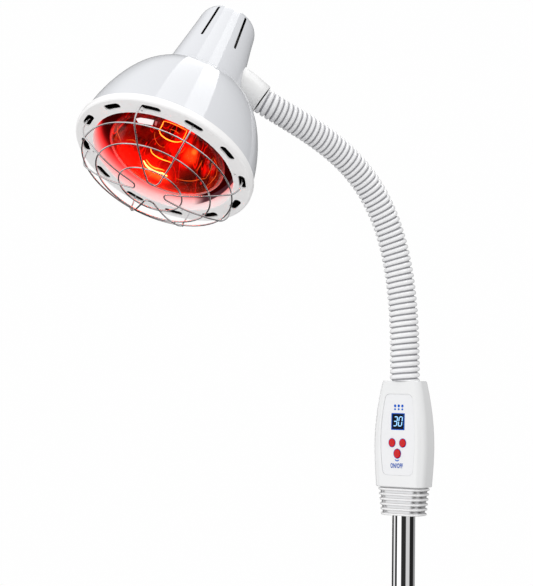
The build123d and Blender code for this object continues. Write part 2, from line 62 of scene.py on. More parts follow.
def mesh_obj(name, verts, faces, material, smooth=True, mats=None, idx=None):
    me = bpy.data.meshes.new(name)
    me.from_pydata([tuple(float(c) for c in v) for v in verts], [], [tuple(int(i) for i in f) for f in faces])
    me.update()
    for m in (mats or [material]):
        me.materials.append(m)
    if idx is not None:
        me.polygons.foreach_set("material_index", idx)
    me.polygons.foreach_set("use_smooth", [smooth] * len(me.polygons))
    me.update()
    return link(bpy.data.objects.new(name, me))


def spline_pts(pts, n):
    """n points on a smooth (centripetal Catmull-Rom) curve through pts."""
    P = [np.array(p, float) for p in pts]
    P = [2 * P[0] - P[1]] + P + [2 * P[-1] - P[-2]]
    t = [0.0]
    for i in range(1, len(P)):
        t.append(t[-1] + max(1e-9, np.linalg.norm(P[i] - P[i - 1])) ** 0.5)
    out = []
    for u in np.linspace(t[1], t[-2], n):
        i = min(max(np.searchsorted(t, u, side="right") - 1, 1), len(P) - 3)
        p0, p1, p2, p3 = P[i - 1:i + 3]
        t0, t1, t2, t3 = t[i - 1:i + 3]
        a1 = (t1 - u) / (t1 - t0) * p0 + (u - t0) / (t1 - t0) * p1
        a2 = (t2 - u) / (t2 - t1) * p1 + (u - t1) / (t2 - t1) * p2
        a3 = (t3 - u) / (t3 - t2) * p2 + (u - t2) / (t3 - t2) * p3
        b1 = (t2 - u) / (t2 - t0) * a1 + (u - t0) / (t2 - t0) * a2
        b2 = (t3 - u) / (t3 - t1) * a2 + (u - t1) / (t3 - t1) * a3
        out.append((t2 - u) / (t2 - t1) * b1 + (u - t1) / (t2 - t1) * b2)
    return np.array(out)


# ------------------------------------------------------------------ materials
def principled(name):
    m = bpy.data.materials.new(name)
    m.use_nodes = True
    nt = m.node_tree
    b = next(n for n in nt.nodes if n.type == "BSDF_PRINCIPLED")
    return m, nt, b


def noise(nt, scale, detail=3.0, rough=0.5, coord="Object", stretch=None):
    tc = nt.nodes.new("ShaderNodeTexCoord")
    n = nt.nodes.new("ShaderNodeTexNoise")
    n.inputs["Scale"].default_value = scale
    n.inputs["Detail"].default_value = detail
    n.inputs["Roughness"].default_value = rough
    if stretch:
        mp = nt.nodes.new("ShaderNodeMapping")
        mp.inputs["Scale"].default_value = stretch
        nt.links.new(tc.outputs[coord], mp.inputs["Vector"])
        nt.links.new(mp.outputs["Vector"], n.inputs["Vector"])
    else:
        nt.links.new(tc.outputs[coord], n.inputs["Vector"])
    return n


def ramp(nt, src, stops):
    r = nt.nodes.new("ShaderNodeValToRGB")
    e = r.color_ramp.elements
    while len(e) > 1:
        e.remove(e[-1])
    e[0].position, e[0].color = stops[0][0], tuple(stops[0][1]) + (1.0,)
    for p, c in stops[1:]:
        x = e.new(p)
        x.color = tuple(c) + (1.0,)
    nt.links.new(src, r.inputs["Fac"])
    return r


def finish_mat(name, color, rough, metal=0.0, var=0.02, rvar=0.06, scale=60.0, bump=0.02, bscale=900.0,
               coat=0.0, coat_rough=0.05, spec=0.5, ior=1.5, bdist=0.0002, stretch=None):
    """A surface with slight colour and gloss variation and a fine surface texture."""
    m, nt, b = principled(name)
    b.inputs["Metallic"].default_value = metal
    b.inputs["IOR"].default_value = ior
    b.inputs["Specular IOR Level"].default_value = spec
    b.inputs["Coat Weight"].default_value = coat
    b.inputs["Coat Roughness"].default_value = coat_rough
    n = noise(nt, scale, 4.0, 0.55, stretch=stretch)
    lo = [max(0.0, c * (1 - var)) for c in color]
    hi = [min(1.0, c * (1 + var)) for c in color]
    r = ramp(nt, n.outputs["Fac"], [(0.3, lo), (0.7, hi)])
    nt.links.new(r.outputs["Color"], b.inputs["Base Color"])
    mr = nt.nodes.new("ShaderNodeMapRange")
    mr.inputs["From Min"].default_value = 0.3
    mr.inputs["From Max"].default_value = 0.7
    mr.inputs["To Min"].default_value = max(0.01, rough - rvar / 2)
    mr.inputs["To Max"].default_value = rough + rvar / 2
    n2 = noise(nt, scale * 0.37, 5.0, 0.6, stretch=stretch)
    nt.links.new(n2.outputs["Fac"], mr.inputs["Value"])
    nt.links.new(mr.outputs["Result"], b.inputs["Roughness"])
    if bump:
        nb = noise(nt, bscale, 2.0, 0.5, stretch=stretch)
        bp = nt.nodes.new("ShaderNodeBump")
        bp.inputs["Strength"].default_value = bump
        bp.inputs["Distance"].default_value = bdist
        nt.links.new(nb.outputs["Fac"], bp.inputs["Height"])
        nt.links.new(bp.outputs["Normal"], b.inputs["Normal"])
    return m


M = {}
M["shade"] = finish_mat("shade_enamel", (0.75, 0.762, 0.792), 0.04, var=0.006, rvar=0.02, scale=18, bump=0.01, bscale=300, bdist=0.00005)
M["ring"] = finish_mat("ring_enamel", (0.88, 0.88, 0.88), 0.28, var=0.01, rvar=0.06, scale=25, bump=0.05, bscale=500, bdist=0.0001)
M["gloss"] = finish_mat("box_plastic", (0.83, 0.835, 0.84), 0.16, var=0.006, rvar=0.04, scale=30, bump=0.03, bscale=700, bdist=0.0001)
M["satin"] = finish_mat("connector_plastic", (0.86, 0.86, 0.858), 0.36, var=0.01, rvar=0.06, scale=60, bump=0.08, bscale=1500, bdist=0.0001)
M["sleeve"] = finish_mat("sleeve_plastic", (0.92, 0.92, 0.93), 0.20, var=0.01, rvar=0.06, scale=40, bump=0.0)


def paint_groove_shade(m, stops):
    """Paints shade into the grooves of the ribbed sleeve, darker towards each groove's bottom; the texture's second
    coordinate is the height.
    """
    nt = m.node_tree
    b = next(n for n in nt.nodes if n.type == "BSDF_PRINCIPLED")
    src = b.inputs["Base Color"].links[0].from_socket
    tc = nt.nodes.new("ShaderNodeTexCoord")
    sp = nt.nodes.new("ShaderNodeSeparateXYZ")
    nt.links.new(tc.outputs["UV"], sp.inputs["Vector"])
    r = ramp(nt, sp.outputs["Y"], stops)
    mul = nt.nodes.new("ShaderNodeMix"); mul.data_type = "RGBA"; mul.blend_type = "MULTIPLY"
    mul.inputs["Factor"].default_value = 1.0
    nt.links.new(src, mul.inputs["A"]); nt.links.new(r.outputs["Color"], mul.inputs["B"])
    nt.links.new(mul.outputs["Result"], b.inputs["Base Color"])
    return m


# painted shade: the sleeve's colour falls to 0.40 at the bottom of each groove and is full on the crest
paint_groove_shade(M["sleeve"], [(0.0, (0.40, 0.40, 0.415)), (0.28, (0.64, 0.64, 0.655)), (0.55, (0.92, 0.92, 0.93)), (0.80, (1.0, 1.0, 1.0))])
M["chrome"] = finish_mat("chrome_tube", (0.86, 0.86, 0.87), 0.025, metal=1.0, var=0.01, rvar=0.02, scale=30, bump=0.01, bscale=300, bdist=0.00005, stretch=(1, 1, 0.15))
M["wire"] = finish_mat("chrome_wire", (0.80, 0.80, 0.81), 0.20, metal=1.0, var=0.03, rvar=0.06, scale=200, bump=0.02, bscale=900, bdist=0.00005)
M["zinc"] = finish_mat("zinc_plate", (0.60, 0.61, 0.63), 0.32, metal=1.0, var=0.06, rvar=0.12, scale=120, bump=0.05, bscale=1200)
M["base"] = finish_mat("base_enamel", (0.83, 0.83, 0.82), 0.22, var=0.012, rvar=0.06, scale=14, bump=0.05, bscale=380, bdist=0.0001)
M["clamp"] = finish_mat("clamp_plastic", (0.80, 0.80, 0.79), 0.35, var=0.02, rvar=0.08, scale=70, bump=0.1, bscale=1600)
M["black"] = finish_mat("black_plastic", (0.03, 0.03, 0.033), 0.42, var=0.2, rvar=0.12, scale=90, bump=0.2, bscale=1800)
M["rubber"] = finish_mat("rubber_pad", (0.035, 0.035, 0.035), 0.75, var=0.2, rvar=0.15, scale=120, bump=0.3, bscale=1500)
M["nylon"] = finish_mat("nylon", (0.72, 0.71, 0.66), 0.45, var=0.04, scale=90, bump=0.08)
M["pcb"] = finish_mat("circuit_board", (0.03, 0.16, 0.07), 0.4, var=0.15, scale=200)
M["iron"] = finish_mat("cast_iron", (0.12, 0.12, 0.125), 0.7, metal=0.6, var=0.2, scale=80, bump=0.5, bscale=700, bdist=0.0006)
M["ceramic"] = finish_mat("ceramic", (0.82, 0.80, 0.74), 0.22, var=0.03, scale=70)
M["brass"] = finish_mat("brass", (0.75, 0.58, 0.27), 0.3, metal=1.0, var=0.05, scale=90)
M["panel"] = finish_mat("panel_film", (0.83, 0.835, 0.85), 0.3, var=0.01, scale=60, bump=0.05, bscale=2500, bdist=0.00005)
M["red"] = finish_mat("button_red", (0.62, 0.006, 0.006), 0.18, spec=0.25, var=0.06, scale=300, bump=0.05, bscale=2500, bdist=0.00005)
M["glass"] = finish_mat("bulb_glass_plain", (0.45, 0.005, 0.004), 0.05, var=0.05, scale=30)
M["display"] = finish_mat("display_black", (0.003, 0.004, 0.012), 0.12, var=0.1, scale=300, spec=0.08)

# ------------------------------------------------------------------ head frame
CR = np.array([-158.64, -244.64, 887.52])
HU = np.array([0.8963, 0.3418, -0.2826])
HB = np.array([0.06327, 0.5322, 0.84425])
HB = HB / np.linalg.norm(HB)
HU = HU - HB * (HU @ HB)
HU = HU / np.linalg.norm(HU)
HV = np.cross(HB, HU)


def axis_side(nt):
    """1 on surfaces that face away from the light's axis, 0 on those that face it."""
    tc = nt.nodes.new("ShaderNodeTexCoord")
    sub = nt.nodes.new("ShaderNodeVectorMath"); sub.operation = "SUBTRACT"
    nt.links.new(tc.outputs["Object"], sub.inputs[0])
    sub.inputs[1].default_value = tuple(CR * MM)
    prj = nt.nodes.new("ShaderNodeVectorMath"); prj.operation = "PROJECT"
    nt.links.new(sub.outputs["Vector"], prj.inputs[0])
    prj.inputs[1].default_value = tuple(HB)
    rad = nt.nodes.new("ShaderNodeVectorMath"); rad.operation = "SUBTRACT"
    nt.links.new(sub.outputs["Vector"], rad.inputs[0])
    nt.links.new(prj.outputs["Vector"], rad.inputs[1])
    dot = nt.nodes.new("ShaderNodeVectorMath"); dot.operation = "DOT_PRODUCT"
    nt.links.new(rad.outputs["Vector"], dot.inputs[0])
    nt.links.new(tc.outputs["Normal"], dot.inputs[1])
    gt = nt.nodes.new("ShaderNodeMath"); gt.operation = "GREATER_THAN"
    nt.links.new(dot.outputs["Value"], gt.inputs[0])
    gt.inputs[1].default_value = 0.0
    return gt.outputs[0]


def paint_hidden_side_shade(m, inner, outer=None):
    """Paints shade on a shell: gives the sides that face the light's axis, or face away from it, another colour, near
    black where they lie in the dark gaps behind the vents and slots.
    """
    nt = m.node_tree
    b = next(n for n in nt.nodes if n.type == "BSDF_PRINCIPLED")
    src = b.inputs["Base Color"].links[0].from_socket
    mx = nt.nodes.new("ShaderNodeMix"); mx.data_type = "RGBA"
    nt.links.new(axis_side(nt), mx.inputs["Factor"])
    if outer is None:
        mx.inputs["A"].default_value = tuple(inner) + (1,)
        nt.links.new(src, mx.inputs["B"])
    else:
        nt.links.new(src, mx.inputs["A"])
        mx.inputs["B"].default_value = tuple(outer) + (1,)
    nt.links.new(mx.outputs["Result"], b.inputs["Base Color"])
    return m


# painted shade: the insides of the bell and the neck cover, seen through the vents and slots, are near black
M["bell"] = paint_hidden_side_shade(finish_mat("bell_enamel_painted_shade_inside", (0.75, 0.762, 0.792), 0.04, var=0.006, rvar=0.02, scale=18, bump=0.01, bscale=300, bdist=0.00005), (0.012, 0.010, 0.010))
M["neck"] = paint_hidden_side_shade(finish_mat("neck_enamel_painted_shade_inside", (0.75, 0.762, 0.792), 0.04, var=0.006, rvar=0.02, scale=18, bump=0.01, bscale=300, bdist=0.00005), (0.012, 0.010, 0.010))
def paint_bulb_light_on_wall(m, ring=False):
    """Paints the red light that the bulb throws on the white wall round it into the wall's colour and glow: white at
    the rim, pink, red, then painted dark behind the bulb.
    """
    nt = m.node_tree
    b = next(n for n in nt.nodes if n.type == "BSDF_PRINCIPLED")
    tc = nt.nodes.new("ShaderNodeTexCoord")
    sub = nt.nodes.new("ShaderNodeVectorMath"); sub.operation = "SUBTRACT"
    nt.links.new(tc.outputs["Object"], sub.inputs[0])
    sub.inputs[1].default_value = tuple(CR * MM)

    def along(d):
        n = nt.nodes.new("ShaderNodeVectorMath"); n.operation = "DOT_PRODUCT"
        nt.links.new(sub.outputs["Vector"], n.inputs[0])
        n.inputs[1].default_value = tuple(d * 1000.0)
        return n.outputs["Value"]

    s = along(HB)
    side = along(math.cos(math.radians(165)) * HU + math.sin(math.radians(165)) * HV)   # -77 ... 77
    sh = nt.nodes.new("ShaderNodeMath"); sh.operation = "MULTIPLY_ADD"
    nt.links.new(side, sh.inputs[0]); sh.inputs[1].default_value = 0.085
    nt.links.new(s, sh.inputs[2])
    mr = nt.nodes.new("ShaderNodeMapRange")
    nt.links.new(sh.outputs[0], mr.inputs["Value"])
    mr.inputs["From Min"].default_value = 0.0
    mr.inputs["From Max"].default_value = 40.0
    em = ramp(nt, mr.outputs["Result"], [(0.05, (0.46, 0.43, 0.43)), (0.20, (0.54, 0.30, 0.30)), (0.33, (0.62, 0.14, 0.14)), (0.47, (0.80, 0.035, 0.035)),
                                         (0.58, (0.62, 0.01, 0.01)), (0.68, (0.10, 0.0, 0.0)), (0.80, (0.02, 0.0, 0.0))])
    painted_red_tint = ramp(nt, mr.outputs["Result"], [(0.30, (1.0, 1.0, 1.0)), (0.48, (0.8, 0.32, 0.32)), (0.60, (0.5, 0.05, 0.05)), (0.72, (0.10, 0.01, 0.01))])
    src_ = b.inputs["Base Color"].links[0].from_socket
    mul = nt.nodes.new("ShaderNodeMix"); mul.data_type = "RGBA"; mul.blend_type = "MULTIPLY"
    mul.inputs["Factor"].default_value = 1.0
    nt.links.new(src_, mul.inputs["A"]); nt.links.new(painted_red_tint.outputs["Color"], mul.inputs["B"])
    side_mask = axis_side(nt)
    pick = nt.nodes.new("ShaderNodeMix"); pick.data_type = "RGBA"
    nt.links.new(side_mask, pick.inputs["Factor"])
    nt.links.new(mul.outputs["Result"], pick.inputs["A"])
    nt.links.new(src_, pick.inputs["B"])
    # painted shade: on the right the wall is painted dark, where it lies in the dark behind a slanting edge
    t_ = along(math.cos(math.radians(128.5)) * HU + math.sin(math.radians(128.5)) * HV)
    f_ = nt.nodes.new("ShaderNodeMath"); f_.operation = "MULTIPLY_ADD"
    nt.links.new(t_, f_.inputs[0]); f_.inputs[1].default_value = 0.278
    nt.links.new(s, f_.inputs[2])
    e1_ = nt.nodes.new("ShaderNodeMapRange"); e1_.interpolation_type = "SMOOTHSTEP"
    nt.links.new(f_.outputs[0], e1_.inputs["Value"])
    e1_.inputs["From Min"].default_value = 24.0
    e1_.inputs["From Max"].default_value = 25.6
    e2_ = nt.nodes.new("ShaderNodeMapRange"); e2_.interpolation_type = "SMOOTHSTEP"
    nt.links.new(side, e2_.inputs["Value"])
    e2_.inputs["From Min"].default_value = -4.0
    e2_.inputs["From Max"].default_value = -20.0
    painted_shadow_mask = nt.nodes.new("ShaderNodeMath"); painted_shadow_mask.operation = "MULTIPLY"
    nt.links.new(e1_.outputs["Result"], painted_shadow_mask.inputs[0]); nt.links.new(e2_.outputs["Result"], painted_shadow_mask.inputs[1])
    pick2 = nt.nodes.new("ShaderNodeMix"); pick2.data_type = "RGBA"
    nt.links.new(painted_shadow_mask.outputs[0], pick2.inputs["Factor"])
    nt.links.new(pick.outputs["Result"], pick2.inputs["A"])
    pick2.inputs["B"].default_value = (0.03, 0.001, 0.001, 1)
    e3_ = nt.nodes.new("ShaderNodeMapRange"); e3_.interpolation_type = "SMOOTHSTEP"
    nt.links.new(f_.outputs[0], e3_.inputs["Value"])
    e3_.inputs["From Min"].default_value = 17.0
    e3_.inputs["From Max"].default_value = 18.8
    mv = nt.nodes.new("ShaderNodeMath"); mv.operation = "MULTIPLY"
    nt.links.new(e3_.outputs["Result"], mv.inputs[0]); nt.links.new(e2_.outputs["Result"], mv.inputs[1])
    mv_b = nt.nodes.new("ShaderNodeMix"); mv_b.data_type = "RGBA"
    nt.links.new(mv.outputs[0], mv_b.inputs["Factor"])
    nt.links.new(pick.outputs["Result"], mv_b.inputs["A"])
    mv_b.inputs["B"].default_value = (0.10, 0.05, 0.06, 1)
    nt.links.new(mv_b.outputs["Result"], pick2.inputs["A"])
    pick3 = nt.nodes.new("ShaderNodeMix"); pick3.data_type = "RGBA"      # the outside keeps its own colour
    nt.links.new(side_mask, pick3.inputs["Factor"])
    nt.links.new(pick2.outputs["Result"], pick3.inputs["A"])
    nt.links.new(src_, pick3.inputs["B"])
    nt.links.new(pick3.outputs["Result"], b.inputs["Base Color"])
    em2 = nt.nodes.new("ShaderNodeMix"); em2.data_type = "RGBA"
    nt.links.new(painted_shadow_mask.outputs[0], em2.inputs["Factor"])
    mv_e = nt.nodes.new("ShaderNodeMix"); mv_e.data_type = "RGBA"
    nt.links.new(mv.outputs[0], mv_e.inputs["Factor"])
    nt.links.new(em.outputs["Color"], mv_e.inputs["A"])
    mv_e.inputs["B"].default_value = (0.045, 0.010, 0.015, 1)
    nt.links.new(mv_e.outputs["Result"], em2.inputs["A"])
    em2.inputs["B"].default_value = (0.022, 0.0, 0.0, 1)
    inv = nt.nodes.new("ShaderNodeMath"); inv.operation = "SUBTRACT"
    inv.inputs[0].default_value = 1.0
    nt.links.new(side_mask, inv.inputs[1])
    strength = inv.outputs[0]
    if ring:                                  # only the turned-in lip, not the face plate
        rad = nt.nodes.new("ShaderNodeVectorMath"); rad.operation = "LENGTH"
        prj = nt.nodes.new("ShaderNodeVectorMath"); prj.operation = "PROJECT"
        nt.links.new(sub.outputs["Vector"], prj.inputs[0]); prj.inputs[1].default_value = tuple(HB)
        df = nt.nodes.new("ShaderNodeVectorMath"); df.operation = "SUBTRACT"
        nt.links.new(sub.outputs["Vector"], df.inputs[0]); nt.links.new(prj.outputs["Vector"], df.inputs[1])
        nt.links.new(df.outputs["Vector"], rad.inputs[0])
        lt = nt.nodes.new("ShaderNodeMath"); lt.operation = "LESS_THAN"
        nt.links.new(rad.outputs["Value"], lt.inputs[0]); lt.inputs[1].default_value = 0.0764
        mm_ = nt.nodes.new("ShaderNodeMath"); mm_.operation = "MULTIPLY"
        nt.links.new(strength, mm_.inputs[0]); nt.links.new(lt.outputs[0], mm_.inputs[1])
        # painted light: the face plate glows a little, in place of the light that comes back from below
        fl = nt.nodes.new("ShaderNodeMix"); fl.data_type = "RGBA"
        nt.links.new(mm_.outputs[0], fl.inputs["Factor"])
        fl.inputs["A"].default_value = (0.12, 0.115, 0.115, 1)
        nt.links.new(em2.outputs["Result"], fl.inputs["B"])
        nt.links.new(fl.outputs["Result"], b.inputs["Emission Color"])
        b.inputs["Emission Strength"].default_value = 1.0
        return m
    nt.links.new(em2.outputs["Result"], b.inputs["Emission Color"])
    nt.links.new(strength, b.inputs["Emission Strength"])
    return m


# painted light and shade: the reflector's inside gets the bulb's painted red glow and painted dark, its outside a
# painted near-black shade
M["reflector"] = paint_hidden_side_shade(paint_bulb_light_on_wall(finish_mat("reflector_enamel_painted_light_and_shade", (0.90, 0.90, 0.90), 0.30, var=0.006, rvar=0.04, scale=25, bump=0.02, bscale=420, bdist=0.0001, spec=0.10)), None, (0.012, 0.010, 0.010))
# painted light: the ring's turned-in lip gets the bulb's painted red glow, and its face plate a faint painted glow
M["ring"] = paint_bulb_light_on_wall(M["ring"], ring=True)


def glass_mat(name, color, rough=0.0, ior=1.45):
    m, nt, b = principled(name)
    b.inputs["Base Color"].default_value = tuple(color) + (1,)
    b.inputs["Transmission Weight"].default_value = 1.0
    b.inputs["IOR"].default_value = ior
    b.inputs["Roughness"].default_value = rough
    n = noise(nt, 22.0, 1.5, 0.4)
    bp = nt.nodes.new("ShaderNodeBump")
    bp.inputs["Strength"].default_value = 0.04
    bp.inputs["Distance"].default_value = 0.001
    nt.links.new(n.outputs["Fac"], bp.inputs["Height"])
    nt.links.new(bp.outputs["Normal"], b.inputs["Normal"])
    return m


M["red_glass"] = glass_mat("bulb_red_glass", (1.0, 0.095, 0.03), ior=1.24)
M["clear_glass"] = glass_mat("stem_glass", (0.95, 0.95, 0.95))


def emit_mat(name, color, strength, base=(0.1, 0.02, 0.01), rough=0.3):
    m, nt, b = principled(name)
    b.inputs["Base Color"].default_value = tuple(base) + (1,)
    b.inputs["Roughness"].default_value = rough
    b.inputs["Emission Color"].default_value = tuple(color) + (1,)
    b.inputs["Emission Strength"].default_value = strength
    return m


M["filament"] = emit_mat("filament_hot", (1.0, 0.85, 0.45), 34.0)
M["glint_hot"] = emit_mat("glint_hot", (0.9, 1.0, 0.75), 26.0)
M["glint_warm"] = emit_mat("glint_warm", (0.6, 1.0, 0.25), 9.0)
M["glint_dim"] = emit_mat("glint_dim", (0.8, 1.0, 0.30), 1.1)
M["digit"] = emit_mat("digit_blue", (0.30, 0.62, 1.0), 1.3, base=(0.1, 0.2, 0.3))
M["ink"] = finish_mat("ink_blue", (0.0, 0.095, 0.55), 0.5, var=0.05, scale=400, bump=0, spec=0.02)
M["ink_pale"] = finish_mat("ink_blue_pale", (0.0, 0.13, 0.60), 0.5, var=0.05, scale=400, bump=0, spec=0.02)
M["ink_text"] = finish_mat("ink_blue_text", (0.0, 0.08, 0.46), 0.5, var=0.05, scale=400, bump=0, spec=0.02)
M["ring_ink"] = finish_mat("ink_outline", (0.0, 0.08, 0.50), 0.5, var=0.05, scale=400, bump=0, spec=0.02)
M["deep_red"] = finish_mat("button_red_deep", (0.42, 0.008, 0.012), 0.3, var=0.05, scale=300, bump=0)
M["line_grey"] = finish_mat("line_grey", (0.56, 0.57, 0.58), 0.4, var=0.02, scale=300, bump=0)
M["shadow_grey"] = finish_mat("joint_dark", (0.10, 0.10, 0.105), 0.6, var=0.1, scale=300, bump=0)


def mirror_mat():
    """The silvered, slightly rippled wall inside the bulb, with the reflected glow of the hot filament painted on it as
    emission.
    """
    m, nt, b = principled("bulb_mirror_painted_reflections")
    b.inputs["Metallic"].default_value = 1.0
    b.inputs["Roughness"].default_value = 0.10
    b.inputs["Base Color"].default_value = (0.06, 0.006, 0.004, 1)
    uv = nt.nodes.new("ShaderNodeTexCoord")
    sp = nt.nodes.new("ShaderNodeSeparateXYZ")
    nt.links.new(uv.outputs["UV"], sp.inputs["Vector"])

    def mathn(op, x, y=None, clamp=False):
        n = nt.nodes.new("ShaderNodeMath"); n.operation = op; n.use_clamp = clamp
        for k, q in enumerate((x, y)):
            if q is None:
                continue
            if isinstance(q, (int, float)):
                n.inputs[k].default_value = q
            else:
                nt.links.new(q, n.inputs[k])
        return n.outputs[0]

    def blob(u0, v0, ru, rv):
        du = mathn("DIVIDE", mathn("SUBTRACT", sp.outputs["X"], u0), ru)
        dv = mathn("DIVIDE", mathn("SUBTRACT", sp.outputs["Y"], v0), rv)
        d = mathn("SQRT", mathn("ADD", mathn("MULTIPLY", du, du), mathn("MULTIPLY", dv, dv)))
        mr = nt.nodes.new("ShaderNodeMapRange"); mr.interpolation_type = "SMOOTHSTEP"
        nt.links.new(d, mr.inputs["Value"])
        mr.inputs["From Min"].default_value = 1.0
        mr.inputs["From Max"].default_value = 0.25
        return mr.outputs["Result"]

    mp = nt.nodes.new("ShaderNodeMapping")
    mp.inputs["Scale"].default_value = (9.0, 2.2, 1.0)
    mp.inputs["Rotation"].default_value = (0, 0, 0.45)
    nt.links.new(uv.outputs["UV"], mp.inputs["Vector"])
    n1 = nt.nodes.new("ShaderNodeTexNoise")
    n1.inputs["Scale"].default_value = 1.7
    n1.inputs["Detail"].default_value = 2.5
    n1.inputs["Distortion"].default_value = 1.4
    nt.links.new(mp.outputs["Vector"], n1.inputs["Vector"])
    streak = nt.nodes.new("ShaderNodeMapRange"); streak.interpolation_type = "SMOOTHSTEP"
    streak.inputs["From Min"].default_value = 0.40
    streak.inputs["From Max"].default_value = 0.58
    streak.inputs["To Min"].default_value = 0.0
    streak.inputs["To Max"].default_value = 1.0
    nt.links.new(n1.outputs["Fac"], streak.inputs["Value"])
    # painted reflections of the filament: a broad glow low in the bulb, one higher up, a small one beside it, and the
    # pools of the filament's light
    g_low = blob(0.600, 0.00, 0.150, 0.215)
    g_mid = blob(0.505, 0.245, 0.092, 0.185)
    g_side = blob(0.385, 0.165, 0.055, 0.085)
    g_warm = blob(0.464, 0.250, 0.040, 0.082)
    g_core = blob(0.455, 0.284, 0.018, 0.034)
    g_hot = blob(0.560, 0.055, 0.060, 0.062)
    tex = streak.outputs["Result"]
    n3 = nt.nodes.new("ShaderNodeTexNoise")
    n3.inputs["Scale"].default_value = 1.15
    n3.inputs["Detail"].default_value = 1.5
    n3.inputs["Distortion"].default_value = 1.9
    nt.links.new(mp.outputs["Vector"], n3.inputs["Vector"])
    off = mathn("ABSOLUTE", mathn("SUBTRACT", n3.outputs["Fac"], 0.5))
    ln = nt.nodes.new("ShaderNodeMapRange"); ln.interpolation_type = "SMOOTHSTEP"
    nt.links.new(off, ln.inputs["Value"])
    ln.inputs["From Min"].default_value = 0.016
    ln.inputs["From Max"].default_value = 0.004
    line = ln.outputs["Result"]
    fill = mathn("MULTIPLY", g_low, mathn("ADD", mathn("MULTIPLY", tex, 0.30), 0.70))
    fill = mathn("ADD", fill, mathn("MULTIPLY", g_mid, mathn("ADD", mathn("MULTIPLY", tex, 0.65), 0.25)))
    fill = mathn("ADD", fill, mathn("MULTIPLY", g_side, mathn("MULTIPLY", tex, 0.55)), clamp=True)
    warm = mathn("ADD", mathn("MULTIPLY", g_warm, 0.42), mathn("MULTIPLY", g_core, 0.50))
    warm = mathn("ADD", warm, mathn("MULTIPLY", g_hot, 0.55), clamp=True)
    level = mathn("ADD", mathn("MULTIPLY", fill, 1.75), mathn("ADD", mathn("MULTIPLY", tex, 0.16), 0.03))
    level = mathn("ADD", level, mathn("MULTIPLY", line, 0.75))
    level = mathn("ADD", level, mathn("MULTIPLY", warm, 2.6))
    # painted shade: the glow falls to 0.12 towards one side of the wall
    shade_r = nt.nodes.new("ShaderNodeMapRange"); shade_r.interpolation_type = "SMOOTHSTEP"
    nt.links.new(sp.outputs["X"], shade_r.inputs["Value"])
    shade_r.inputs["From Min"].default_value = 0.30
    shade_r.inputs["From Max"].default_value = 0.41
    shade_r.inputs["To Min"].default_value = 0.12
    level = mathn("MULTIPLY", level, shade_r.outputs["Result"])
    col = nt.nodes.new("ShaderNodeMix"); col.data_type = "RGBA"
    nt.links.new(warm, col.inputs["Factor"])
    col.inputs["A"].default_value = (1.0, 0.02, 0.004, 1)
    col.inputs["B"].default_value = (1.0, 0.95, 0.30, 1)
    nt.links.new(col.outputs["Result"], b.inputs["Emission Color"])
    nt.links.new(level, b.inputs["Emission Strength"])
    n2 = noise(nt, 16.0, 2.0, 0.5)
    bp = nt.nodes.new("ShaderNodeBump")
    bp.inputs["Strength"].default_value = 0.28
    bp.inputs["Distance"].default_value = 0.006
    nt.links.new(n2.outputs["Fac"], bp.inputs["Height"])
    nt.links.new(bp.outputs["Normal"], b.inputs["Normal"])
    return m


M["mirror"] = mirror_mat()


def collar_mat():
    """White rings over a bright metal sleeve that shows between them."""
    m = finish_mat("collar_rings", (0.90, 0.90, 0.905), 0.20, var=0.006, rvar=0.04, scale=30, bump=0.03, bscale=700, bdist=0.0001)
    nt = m.node_tree
    b = next(n for n in nt.nodes if n.type == "BSDF_PRINCIPLED")
    src = b.inputs["Base Color"].links[0].from_socket
    tc = nt.nodes.new("ShaderNodeTexCoord")
    sp = nt.nodes.new("ShaderNodeSeparateXYZ")
    nt.links.new(tc.outputs["Object"], sp.inputs["Vector"])
    sub = nt.nodes.new("ShaderNodeMath"); sub.operation = "SUBTRACT"
    nt.links.new(sp.outputs["Z"], sub.inputs[0]); sub.inputs[1].default_value = 0.52675 - 0.002675
    mod = nt.nodes.new("ShaderNodeMath"); mod.operation = "PINGPONG"
    nt.links.new(sub.outputs[0], mod.inputs[0]); mod.inputs[1].default_value = 0.002675
    mr = nt.nodes.new("ShaderNodeMapRange")
    nt.links.new(mod.outputs[0], mr.inputs["Value"])
    mr.inputs["From Min"].default_value = 0.00160
    mr.inputs["From Max"].default_value = 0.00140
    mx = nt.nodes.new("ShaderNodeMix"); mx.data_type = "RGBA"
    nt.links.new(mr.outputs["Result"], mx.inputs["Factor"])
    nt.links.new(src, mx.inputs["A"])
    mx.inputs["B"].default_value = (0.78, 0.78, 0.79, 1)
    nt.links.new(mx.outputs["Result"], b.inputs["Base Color"])
    mr.inputs["To Min"].default_value = 0.12
    nt.links.new(mr.outputs["Result"], b.inputs["Metallic"])
    ro = nt.nodes.new("ShaderNodeMapRange")
    nt.links.new(mod.outputs[0], ro.inputs["Value"])
    ro.inputs["From Min"].default_value = 0.00160
    ro.inputs["From Max"].default_value = 0.00140
    ro.inputs["To Min"].default_value = 0.22
    ro.inputs["To Max"].default_value = 0.40
    nt.links.new(ro.outputs["Result"], b.inputs["Roughness"])
    return m


M["collar"] = collar_mat()


